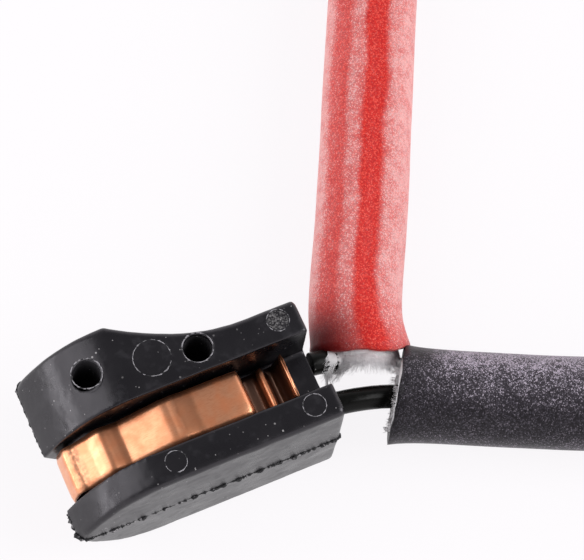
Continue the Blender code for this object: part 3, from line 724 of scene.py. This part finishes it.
def spring_profile():
    """The upper leg's middle line: distance from the nose and height above the middle, in mm."""
    crest = CORE_THICKNESS / 2 + SPRING_GAP + SPRING_THICKNESS / 2
    floor = WEB_THICKNESS / 2 + SPRING_GAP + SPRING_THICKNESS / 2
    drop = HEAD_LENGTH - WEB_LENGTH
    nose = [(0.0, 0.0), (0.2, 0.9), (0.5, 1.75)]
    turn = [(1.85, 2.0), (2.2, 2.08), (2.65, 2.38), (3.05, 2.65)]
    waves = [(3.45, -0.53), (3.9, -0.10), (4.3, 0.22), (4.65, 0.30), (5.2, 0.20), (5.7, 0.11),
             (6.2, 0.10), (6.5, 0.18), (6.9, 0.33), (9.95, 1.34), (10.25, 1.38), (10.5, 1.39),
             (10.8, 1.43), (11.1, 1.44), (11.8, 1.35), (12.5, 1.28), (15.0, 1.28)]
    fall = [(-0.3, 1.20), (0.0, 1.12), (0.2, 0.80), (0.30, 0.20)]
    folds = [(0.35, 1.0), (0.45, 0.40), (0.8, 0.05), (1.4, 0.0), (1.8, 0.10), (2.2, 0.55), (2.45, 0.82),
             (2.65, 0.60), (2.85, 0.12), (3.3, 0.0), (3.6, 0.25), (3.9, 1.0), (4.2, 2.0), (4.3, 2.4)]
    leg = [(SPRING_NOSE + run, rise) for run, rise in nose] + turn
    leg += [(run, crest + rise) for run, rise in waves]
    leg += [(drop + run, crest + rise) for run, rise in fall]
    return leg + [(drop + run, floor + rise) for run, rise in folds]


upper = [Vector((NOSE_X + run, 0, middle + rise)) for run, rise in spring_profile()]
lower = [Vector((place.x, 0, HEAD_HEIGHT - place.z)) for place in upper[1:]]
strip_line = smooth_line(list(reversed(upper)) + lower, 0.11)
print("spring strip length in mm:", round(line_length(strip_line), 1))

# %% Fold the strip
form = bmesh.new()
rings = []
for i, place in enumerate(strip_line):
    run = strip_line[min(i + 1, len(strip_line) - 1)] - strip_line[max(i - 1, 0)]
    out = Vector((run.z, 0, -run.x)).normalized()
    ring = []
    for face in (1, -1):
        for k in range(POINTS_ACROSS):
            across = (k / (POINTS_ACROSS - 1) * 2 - 1) * face
            edge = max(0.0, abs(across) - (1 - EDGE_SHARE)) / EDGE_SHARE
            depth = SPRING_THICKNESS / 2 * face * (1 - 0.75 * edge ** 2) + 0.03 * (1 - across ** 2)
            wobble = 0.012 * noise.noise(place * 0.9 + Vector((0, across, 0)))
            spot = place + out * (depth + wobble)
            y = SLOT_MID + across * SPRING_WIDTH / 2
            ring.append(form.verts.new((spot.x * MM, y * MM, spot.z * MM)))
    rings.append(ring)
skin_rings(form, rings)
spring = from_form("leaf_spring", form, spring_bronze)
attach(spring, "root")
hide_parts("retaining_spring")
print("spring faces:", len(spring.data.polygons))
# %% [markdown]
# ## Silicone sleeves dusted with talc
# The sleeves are glass fibre coated with silicone rubber, and talc keeps the rubber from sticking. The
# talc makes a dense fine speckle. How much lies round the sleeve is partly real talc and partly painted
# light: thick on the bands where light falls, as painted highlight, and bare in the crease, as painted
# shade. The shader needs to know where it is round the sleeve, so the mesh carries that as a UV map:
# u round it, v along it.

# %% Amounts round the sleeve, and grains
def girth_ramp(tree, girth, talc_and_light_stops):
    """A smooth curve through (place round the sleeve, amount) pairs."""
    ramp = add(tree, "ValToRGB", {0: girth})
    ramp.color_ramp.interpolation = "EASE"
    points = ramp.color_ramp.elements
    while len(points) < len(talc_and_light_stops):
        points.new(0.5)
    for point, (place, amount) in zip(points, talc_and_light_stops):
        point.position = place
        point.color = (amount, amount, amount, 1.0)
    return ramp.outputs[0]


def grains_of(tree, size, cover):
    """Fine grains: cells of one size, as large a part of them lit as cover says."""
    cells = add(tree, "TexVoronoi", {"Vector": place_of(tree), "Scale": 1.0 / size})
    chance = add(tree, "SeparateColor", {0: cells.outputs["Color"]}).outputs[1]
    lit = maths(tree, "SUBTRACT", maths(tree, "ADD", chance, cover), 1.0)
    return share(tree, lit, -0.05, 0.25)


# %% [markdown]
# The finish has layers: mottled rubber with paler flecks, a thin film of talc, fine and coarse grains,
# and a darker patch on the left side next to the head.

# %% The talc-dusted rubber
def talc_rubber(name, rubber, deep, fleck, talc, dark_near_head, talc_and_light_stops, film, thick, roughness):
    """Silicone rubber under talc. The stops give the talc round the sleeve, partly real talc and partly
    painted highlight and shade.
    """
    finish, tree, shader = new_finish(name, rubber, roughness)
    shader.inputs["Specular IOR Level"].default_value = 0.18
    place = add(tree, "UVMap", uv_map="girth_and_length").outputs[0]
    girth, length = axis_of(tree, place, 0), axis_of(tree, place, 1)
    drift = times(tree, maths(tree, "SUBTRACT", cloud(tree, 7 * MM, 3.0), 0.5), 0.07)
    # Painted light as well as talc: the stops lay pale talc on the lit bands and leave the shaded crease
    # bare.
    amount = girth_ramp(tree, plus(tree, girth, drift), talc_and_light_stops)
    amount = times(tree, amount, spread(tree, cloud(tree, 1.1 * MM, 4.0), 0.35, 0.65, 0.72, 1.30))
    amount = times(tree, amount, spread(tree, length, 0.3, 5.0, 0.35, 1.0))
    amount = add(tree, "Clamp", {0: amount, 1: 0.0, 2: 1.0}).outputs[0]
    fine = grains_of(tree, 0.078 * MM, plus(tree, times(tree, amount, 0.85), 0.02))
    coarse = grains_of(tree, 0.17 * MM, plus(tree, times(tree, amount, 0.35), 0.015))
    cover = times(tree, larger(tree, fine, times(tree, coarse, 0.7)), thick)
    cover = larger(tree, cover, times(tree, amount, film))
    body = mix(tree, share(tree, cloud(tree, 0.20 * MM, 3.0), 0.35, 0.65), deep, rubber)
    body = mix(tree, times(tree, grains_of(tree, 0.10 * MM, 0.30), 0.75), body, fleck)
    # Darker on the sleeve's left side next to the head.
    near_head = times(tree, share(tree, length, 5.0, 1.2), share(tree, girth, 0.30, 0.10))
    tone = mix(tree, times(tree, near_head, 0.85), mix(tree, cover, body, talc), dark_near_head)
    colour_by(tree, shader, tone)
    dull_by(tree, shader, plus(tree, roughness, times(tree, cover, 0.3)))
    relief = plus(tree, times(tree, fine, 0.5), times(tree, cloud(tree, 0.9 * MM, 3.0), 1.6))
    bump(tree, shader, relief, 0.05 * MM, 0.7)
    return finish


# %% Red and black rubber
red_silicone = talc_rubber(
    "red_silicone", rubber=(0.62, 0.018, 0.012), deep=(0.44, 0.008, 0.008), fleck=(0.80, 0.10, 0.07),
    talc=(0.97, 0.74, 0.72), dark_near_head=(0.10, 0.006, 0.008),
    talc_and_light_stops=[(0.0, 0.80), (0.06, 0.58), (0.11, 0.18), (0.16, 0.12), (0.19, 0.40), (0.21, 0.40),
           (0.24, 0.02), (0.295, 0.02), (0.335, 0.50), (0.39, 0.66), (0.52, 0.66), (0.62, 0.4),
           (0.90, 0.4), (1.0, 0.80)],
    film=0.50, thick=0.56, roughness=0.42)
black_silicone = talc_rubber(
    "black_silicone", rubber=(0.013, 0.011, 0.014), deep=(0.004, 0.003, 0.004),
    fleck=(0.050, 0.045, 0.057), talc=(0.74, 0.66, 0.78), dark_near_head=(0.02, 0.018, 0.02),
    talc_and_light_stops=[(0.0, 0.40), (0.07, 0.60), (0.16, 0.54), (0.24, 0.26), (0.31, 0.13), (0.345, 0.05),
           (0.41, 0.05), (0.46, 0.10), (0.52, 0.22), (0.60, 0.30), (0.85, 0.3), (1.0, 0.30)],
    film=0.14, thick=0.62, roughness=0.40)
print("finishes made:", red_silicone.name, black_silicone.name)


# %% [markdown]
# ## The sleeves' shape
# A sleeve is cut in a hurry, so its mouth is never square. The red one leans forward on top and is cut
# back below, and the black one is cut at a slant.

# %% How a hurried cut runs round the mouth
RED_CUT_BACK, BLACK_SLANT = 2.9, 8.0


def ray_at(side_way, angle):
    """The way out from a level line at an angle that is 90 degrees on top."""
    return side_way * math.cos(angle) + Vector((0, 0, 1)) * math.sin(angle)


def slanted(slant, angle, radius):
    return math.tan(math.radians(slant)) * math.cos(angle) * radius


def cut_shape(angle, cut_back):
    """How far the cut lies behind a square end, in mm, at an angle that is 90 degrees on top."""
    if cut_back == 0.0:
        return 0.0
    rise = math.sin(angle)
    forward = 1.0 * max(0.0, rise) ** 1.5 + 1.1 * max(0.0, rise) * max(0.0, math.cos(angle))
    return 0.35 * (1 - rise) - forward + cut_back * max(0.0, -rise)


# %% [markdown]
# The tube is swept along its line, first outside and then back inside, so it is one closed wall. It
# flares a little at the mouth.

# %% A sleeve as a mesh tube
MOUTH_FLARE, FLARE_RUN, CUT_RUN = 0.30, 1.3, 9.0


def sleeve_tube(name, line, finish, crease, slant, cut_back, start_angle):
    """A thick-walled tube along a level line, with a flared, uneven mouth at its first end."""
    sides = 72
    profile = []
    for i, place in enumerate(line):
        run = (line[min(i + 1, len(line) - 1)] - line[max(i - 1, 0)]).normalized()
        profile.append((place, run, run.cross(Vector((0, 0, 1))).normalized()))
    along = [0.0]
    for a, b in zip(line, line[1:]):
        along.append(along[-1] + (b - a).length / MM)
    total = along[-1]
    outer = SLEEVE / 2 / MM
    inner = SLEEVE_BORE / 2 / MM
    form = bmesh.new()
    uv = form.loops.layers.uv.new("girth_and_length")
    rings = []

    def ring_at(i, radius, push, flare):
        place, run, side_way = profile[i]
        ring = []
        for k in range(sides):
            angle = start_angle - 2 * math.pi * k / sides
            ray = ray_at(side_way, angle)
            spot = Vector((math.cos(angle) * 1.3, math.sin(angle) * 1.3, along[i] * 0.16))
            reach = radius + flare + crease(k / sides, along[i]) + 0.05 * noise.noise(spot)
            torn = 0.10 * noise.noise(Vector((angle * 3.0, i * 7.0, 0.5))) if i in (0, len(line) - 1) else 0
            jag = push + torn
            back = cut_shape(angle, cut_back) - slanted(slant, angle, reach)
            pull = back * max(0.0, 1 - along[i] / CUT_RUN) ** 2
            point = place + ray * reach * MM + run * (jag + pull) * MM
            point.z = max(point.z, 0.02 * MM)
            ring.append(form.verts.new(point))
        return ring

    last = len(line) - 1
    lengths = []
    for i in range(last + 1):
        flare = MOUTH_FLARE * math.exp(-along[i] / FLARE_RUN)
        rings.append(ring_at(i, outer, 0.0, flare))
        lengths.append(along[i])
    rings.append(ring_at(last, (outer + inner) / 2, 0.06, 0.0))
    lengths.append(total)
    for i in range(last, -1, -2):
        rings.append(ring_at(i, inner, 0.0, 0.25 * math.exp(-along[i] / FLARE_RUN)))
        lengths.append(along[i])
    rings.append(ring_at(0, (outer + inner) / 2, -0.08, 0.28))
    lengths.append(0.0)
    rings.append(rings[0])
    lengths.append(0.0)
    for (near, far), (low, high) in zip(zip(rings, rings[1:]), zip(lengths, lengths[1:])):
        for k in range(sides):
            j = (k + 1) % sides
            face = form.faces.new((near[k], near[j], far[j], far[k]))
            for loop, pair in zip(face.loops, ((k, low), (k + 1, low), (k + 1, high), (k, high))):
                loop[uv].uv = (pair[0] / sides, pair[1])
    return from_form(name, form, finish)


# %% [markdown]
# Each sleeve has a shallow crease with a ridge beside it, which fade out before the sleeve turns.

# %% Creases, and both sleeves
def bell(away, width):
    return math.exp(-(away / width) ** 2)


def red_crease(girth, along):
    """A shallow crease with a ridge beside it, from the mouth until the sleeve turns."""
    fade = min(1.0, max(0.0, (88 - along) / 25)) * min(1.0, 0.25 + along / 9)
    centre = 0.290 - 0.0004 * min(along, 60)
    return fade * (0.12 * bell(girth - centre + 0.095, 0.040) - 0.34 * bell(girth - centre, 0.050))


def black_crease(girth, along):
    """A low ridge with a faint crease below it."""
    fade = min(1.0, max(0.0, (60 - along) / 25))
    return fade * (0.07 * bell(girth - 0.17, 0.07) - 0.06 * bell(girth - 0.34, 0.05))


red_sleeve = sleeve_tube("red_sleeve_skin", red_sleeve_line, red_silicone, red_crease,
                         0.0, RED_CUT_BACK, math.pi)
black_sleeve = sleeve_tube("black_sleeve_skin", black_sleeve_line, black_silicone, black_crease,
                           BLACK_SLANT, 0.0, math.pi)
for sleeve, node_name, slot_name in ((red_sleeve, "red_sleeve", "red_silicone"),
                                     (black_sleeve, "black_sleeve", "black_silicone")):
    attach(sleeve, "root")
    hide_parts(node_name)
print("sleeve faces:", len(red_sleeve.data.polygons), len(black_sleeve.data.polygons))

# %% [markdown]
# ## The glass-fibre lining
# Inside the rubber is a woven glass-fibre tube. At the cut mouth its ends fray into short white tufts.
# Each tuft is a bundle of tapering hairs, made directly as mesh, because a hair system would not
# survive an export.

# %% The lining's finish
glass_fibre, tree, shader = new_finish("glass_fibre", (0.82, 0.80, 0.80), 0.55)
strands = cloud(tree, 0.07 * MM, 3.0)
colour_by(tree, shader, mix(tree, strands, (0.90, 0.88, 0.89), (0.98, 0.97, 0.98)))
shader.inputs["Sheen Weight"].default_value = 0.2


# %% [markdown]
# A fibre that starts above the wire lies on it and can't pass through it. So the fringe needs to know
# how high the wire's upper side is at any place.

# %% The height of a wire's upper side
def wire_top(spot, wire):
    """The height of the wire's upper side at a point seen from above, or 0 beside the wire."""
    top = 0.0
    for a, b in zip(wire, wire[1:]):
        if (a.xy - spot.xy).length > 2 * WIRE:
            continue
        flat = b.xy - a.xy
        t = min(1.0, max(0.0, (spot.xy - a.xy).dot(flat) / flat.length_squared))
        near = a.lerp(b, t)
        away = (near.xy - spot.xy).length
        if away < WIRE / 2:
            top = max(top, near.z + math.sqrt((WIRE / 2) ** 2 - away ** 2))
        elif away < WIRE:
            top = max(top, near.z - (away - WIRE / 2))
    return top


print("wire's upper side at the red exit in mm:", round(wire_top(red_wire_line[1], red_wire_line) / MM, 2))


# %% [markdown]
# The lining's short tube follows the cut of the rubber. The red mouth's tufts start on its upper side
# and are combed towards the head.

# %% Lining and tufts at a mouth
HAIRS_A_TUFT, POINTS_A_HAIR, ROOT_DEPTH = 9, 5, 0.4
LINING_RINGS = ((-0.1, 0.12), (-0.15, 0.02), (0.6, 0.0), (6.0, 0.0), (6.0, 0.30), (0.6, 0.32), (-0.1, 0.28))


def frayed_lining(name, line, start_angle, slant, cut_back, tufts, reach, seed, wire):
    """A short white tube inside the mouth and the tufts that stick out of it."""
    chance = random.Random(seed)
    run = (line[0] - line[2]).normalized()
    side_way = (-run).cross(Vector((0, 0, 1))).normalized()
    radius = SLEEVE_BORE / 2 / MM
    form = bmesh.new()
    rings = []
    sides = 60
    for depth, wall in LINING_RINGS:
        ring = []
        for k in range(sides):
            angle = 2 * math.pi * k / sides + start_angle
            ray = ray_at(side_way, angle)
            lean = slanted(slant, angle, radius)
            lean -= cut_shape(angle, cut_back) * max(0.0, 1 - depth / 6)
            rag = 0.14 * noise.noise(Vector((angle * 4.0, depth, seed))) if depth < 0 else 0.0
            flare = 0.2 * math.exp(-max(depth, 0.0) / FLARE_RUN)
            spot = line[0] + ray * (radius + flare - 0.06 - wall) * MM + run * (lean - depth + rag) * MM
            ring.append(form.verts.new(spot))
        rings.append(ring)
    rings.append(rings[0])
    skin_rings(form, rings, close_ends=False)
    for tuft in range(tufts):
        angle = chance.uniform(0, 2 * math.pi) if cut_back == 0 else math.pi / 2 + chance.uniform(-1.7, 1.7)
        lean_out = chance.uniform(-0.25, 0.22) * (0.35 if cut_back else 1.0)
        combed = 0.6 * min(1.0, max(0.0, (angle - 1.4) / 0.9)) if cut_back else 0.0
        sweep = chance.uniform(-0.4, 0.4) + combed
        long = reach * chance.uniform(0.45, 1.1) * (1 + 0.45 * max(0.0, -math.cos(angle)))
        for hair in range(HAIRS_A_TUFT):
            bend = chance.uniform(-0.25, 0.25)
            a = angle + chance.uniform(-0.06, 0.06)
            ray = ray_at(side_way, a)
            tangent = side_way * -math.sin(a) + Vector((0, 0, 1)) * math.cos(a)
            lean = slanted(slant, a, radius) - cut_shape(a, cut_back)
            root = line[0] + ray * (radius + chance.uniform(-0.12, 0.10)) * MM
            root = root + run * (lean - ROOT_DEPTH) * MM
            hair_long = long * chance.uniform(0.6, 1.1) + ROOT_DEPTH
            thick = chance.uniform(0.018, 0.034)
            rings = []
            for step in range(POINTS_A_HAIR):
                t = step / (POINTS_A_HAIR - 1)
                way = run * t * hair_long + ray * (lean_out * t * t * hair_long)
                way = way + tangent * ((sweep + bend * t) * t * t * hair_long)
                spot = root + way * MM
                if root.z > MID_Z - WIRE:
                    spot.z = max(spot.z, wire_top(spot, wire) + 0.03 * MM)
                spot.z = max(spot.z, 0.05 * MM)
                size = thick * (1 - 0.7 * t) * MM
                back = spot - tangent * size * 0.5
                rings.append([form.verts.new(spot + tangent * size), form.verts.new(back + ray * size),
                              form.verts.new(back - ray * size)])
            skin_rings(form, rings)
    thing = from_form(name, form, glass_fibre)
    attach(thing, "root")
    return thing


red_lining = frayed_lining("red_sleeve_lining", red_sleeve_line, math.pi, 0.0, RED_CUT_BACK,
                           400, 1.7, 3, red_wire_line)
black_lining = frayed_lining("black_sleeve_lining", black_sleeve_line, math.pi, BLACK_SLANT, 0.0,
                             80, 0.55, 5, black_wire_line)
red_tail = frayed_lining("red_sleeve_tail_lining", red_sleeve_line[::-1], 0.0, 0.0, 0.0,
                         50, 0.8, 7, red_wire_line)
black_tail = frayed_lining("black_sleeve_tail_lining", black_sleeve_line[::-1], 0.0, 0.0, 0.0,
                           50, 0.8, 9, black_wire_line)
print("lining faces:", len(red_lining.data.polygons), len(black_lining.data.polygons))

# %% [markdown]
# ## The wires
# Each wire is a round cord with a glossy black jacket. A curve with a bevel is the lightest way to make
# one, and it stays exactly round through every bend.

# %% The jacket's finish
JACKET_BLACK = (0.004, 0.004, 0.0035)
wire_jacket, tree, shader = new_finish("wire_jacket", JACKET_BLACK, 0.30)
shader.inputs["Specular IOR Level"].default_value = 0.12
smear = cloud(tree, 0.8 * MM, 3.0)
dull_by(tree, shader, spread(tree, smear, 0.3, 0.7, 0.14, 0.34))
dust = specks(tree, 0.3 * MM, 0.02)
colour_by(tree, shader, mix(tree, dust, JACKET_BLACK, (0.3, 0.29, 0.28)))
bump(tree, shader, smear, 0.04 * MM, 0.5)
print("finish made:", wire_jacket.name)


# %% [markdown]
# Each wire is a round curve along its own line, and the CAD lead it stands for is hidden.

# %% Both wires
def round_wire(name, points, diameter, finish):
    curve = bpy.data.curves.new(name, "CURVE")
    curve.dimensions = "3D"
    curve.bevel_depth = diameter / 2
    curve.bevel_resolution = 6
    curve.use_fill_caps = True
    spline = curve.splines.new("POLY")
    spline.points.add(len(points) - 1)
    for point, place in zip(spline.points, points):
        point.co = (*place, 1.0)
    curve.materials.append(finish)
    thing = bpy.data.objects.new(name, curve)
    bpy.context.scene.collection.objects.link(thing)
    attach(thing, "root")
    return thing


for colour, line, own in (("red", red_wire_line, ("red_wire_seal", "red_terminal")),
                          ("black", black_wire_line, ("black_wire_seal", "black_terminal"))):
    wire = round_wire(f"{colour}_lead_core", line, WIRE, wire_jacket)
    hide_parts(f"{colour}_lead_wire")
print("wires made")

# %% [markdown]
# ## The connector
# The two-way connector is a separate moulding in a tougher, more even plastic, with a coloured lock, soft
# seals and tinned contacts. The CAD shapes are right, so they stay and only get their finishes.

# %% The connector's finishes
PLUG_BLACK = (0.014, 0.014, 0.015)
plug_plastic, tree, shader = new_finish("plug_plastic", PLUG_BLACK, 0.42)
dust = specks(tree, 0.5 * MM, 0.03)
colour_by(tree, shader, mix(tree, dust, PLUG_BLACK, (0.4, 0.4, 0.4)))
dull_by(tree, shader, spread(tree, cloud(tree, 2 * MM), 0.0, 1.0, 0.34, 0.5))
bump(tree, shader, cloud(tree, 0.12 * MM, 3.0), 0.03 * MM, 0.6, 0.25 * MM)


def blotched(name, colour, roughness, metallic, blotch, low, high, grain, relief, strength, edge=0.0,
             stretch=None):
    """A plain finish: two tones in soft blotches, and a fine grain. Sizes are in millimetres."""
    finish, tree, shader = new_finish(name, colour, roughness, metallic)
    colour_by(tree, shader, mix(tree, cloud(tree, blotch * MM), low, high))
    bump(tree, shader, cloud(tree, grain * MM, 3.0, None, stretch), relief * MM, strength, edge * MM)
    return finish


lock_plastic = blotched("lock_plastic", (0.55, 0.05, 0.015), 0.40, 0.0, 1.5, (0.50, 0.045, 0.014),
                        (0.60, 0.065, 0.02), 0.12, 0.03, 0.5, 0.15)
seal_rubber = blotched("seal_rubber", (0.42, 0.10, 0.03), 0.55, 0.0, 0.8, (0.36, 0.085, 0.026),
                       (0.48, 0.13, 0.04), 0.15, 0.03, 0.5, 0.2)
tinned_brass = blotched("tinned_brass", (0.72, 0.71, 0.68), 0.28, 1.0, 0.6, (0.66, 0.65, 0.61),
                        (0.80, 0.79, 0.76), 0.2, 0.02, 0.4, 0.0, (0.2, 1, 1))
bare_copper = blotched("bare_copper", (0.80, 0.36, 0.20), 0.30, 1.0, 0.5, (0.70, 0.30, 0.16),
                       (0.85, 0.42, 0.25), 0.1, 0.02, 0.4)

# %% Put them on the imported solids
FINISH_OF = {
    "connector_housing": plug_plastic, "rear_cover": plug_plastic, "secondary_lock": lock_plastic,
    "red_wire_seal": seal_rubber, "black_wire_seal": seal_rubber, "ring_seal": seal_rubber,
    "red_terminal": tinned_brass, "black_terminal": tinned_brass, "contact_loop": bare_copper,
}
for name, finish in FINISH_OF.items():
    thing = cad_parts[name]
    for holder in thing.material_slots:
        holder.material = finish
print("CAD nodes finished:", len(FINISH_OF))

# %% [markdown]
# ## Table, world and lamps
# The part was photographed on glowing white, so the table looks white from the camera and in
# reflections, yet still takes a faint shadow. The sky is bright near the horizon and dark overhead, as
# in a tent with the camera above it: that keeps the black tops black and lights the steep sides.

# %% The table
TABLE_SIDE, TABLE_STEPS, TABLE_DROP, WHITE_SHARE = 3.0, 16, 0.00002, 0.90
form = bmesh.new()
ticks = [(i / TABLE_STEPS - 0.5) * TABLE_SIDE for i in range(TABLE_STEPS + 1)]
rows = [[form.verts.new((x, y, -TABLE_DROP)) for y in ticks] for x in ticks]
for near, far in zip(rows, rows[1:]):
    for j in range(TABLE_STEPS):
        form.faces.new((near[j], far[j], far[j + 1], near[j + 1]))
table_white, tree, shader = new_finish("table_white", (0.92, 0.91, 0.92), 0.8)
shader.inputs["Specular IOR Level"].default_value = 0.0
glow = add(tree, "Emission", {"Color": (1.0, 0.98, 1.0), "Strength": 1.0})
rays = add(tree, "LightPath").outputs
seen = larger(tree, rays["Is Camera Ray"], larger(tree, rays["Is Glossy Ray"], rays["Is Transmission Ray"]))
blend_node = add(tree, "MixShader", {0: times(tree, seen, WHITE_SHARE)})
tree.links.new(shader.outputs[0], blend_node.inputs[1])
tree.links.new(glow.outputs[0], blend_node.inputs[2])
tree.links.new(blend_node.outputs[0], tree.nodes["Material Output"].inputs[0])
table = from_form("table", form, table_white)
print("table made:", TABLE_SIDE, "m square, in", len(table.data.polygons), "faces")

# %% [markdown]
# All three lamps are large and aim at the head, so their gleams are broad and their shadows soft.

# %% The world and the lamps
HEAD_SPOT = (0.02, 0.01, 0.0)
world = bpy.data.worlds.new("studio_tent")
bpy.context.scene.world = world
world.use_nodes = True
tree = world.node_tree
sky = tree.nodes["Background"]
rise = axis_of(tree, add(tree, "TexCoord").outputs["Generated"], 2)
overhead = share(tree, rise, 0.35, 0.85)
tree.links.new(mix(tree, overhead, (1.0, 0.97, 1.0), (0.26, 0.255, 0.27)), sky.inputs["Color"])
sky.inputs["Strength"].default_value = 1.1


def soft_lamp(name, place, size, power):
    lamp = bpy.data.lights.new(name, "AREA")
    lamp.shape = "RECTANGLE"
    lamp.size, lamp.size_y = size
    lamp.energy = power
    thing = bpy.data.objects.new(name, lamp)
    thing.location = place
    thing.rotation_euler = (Vector(HEAD_SPOT) - Vector(place)).to_track_quat("-Z", "Y").to_euler()
    bpy.context.scene.collection.objects.link(thing)


soft_lamp("low_left_softbox", (-0.76, 0.25, 0.11), (0.60, 0.18), 1.3)
soft_lamp("high_left_softbox", (-0.50, 0.26, 0.60), (0.62, 0.62), 2.1)
soft_lamp("right_softbox", (0.60, -0.22, 0.48), (0.50, 0.55), 3.9)
print("lamps placed")
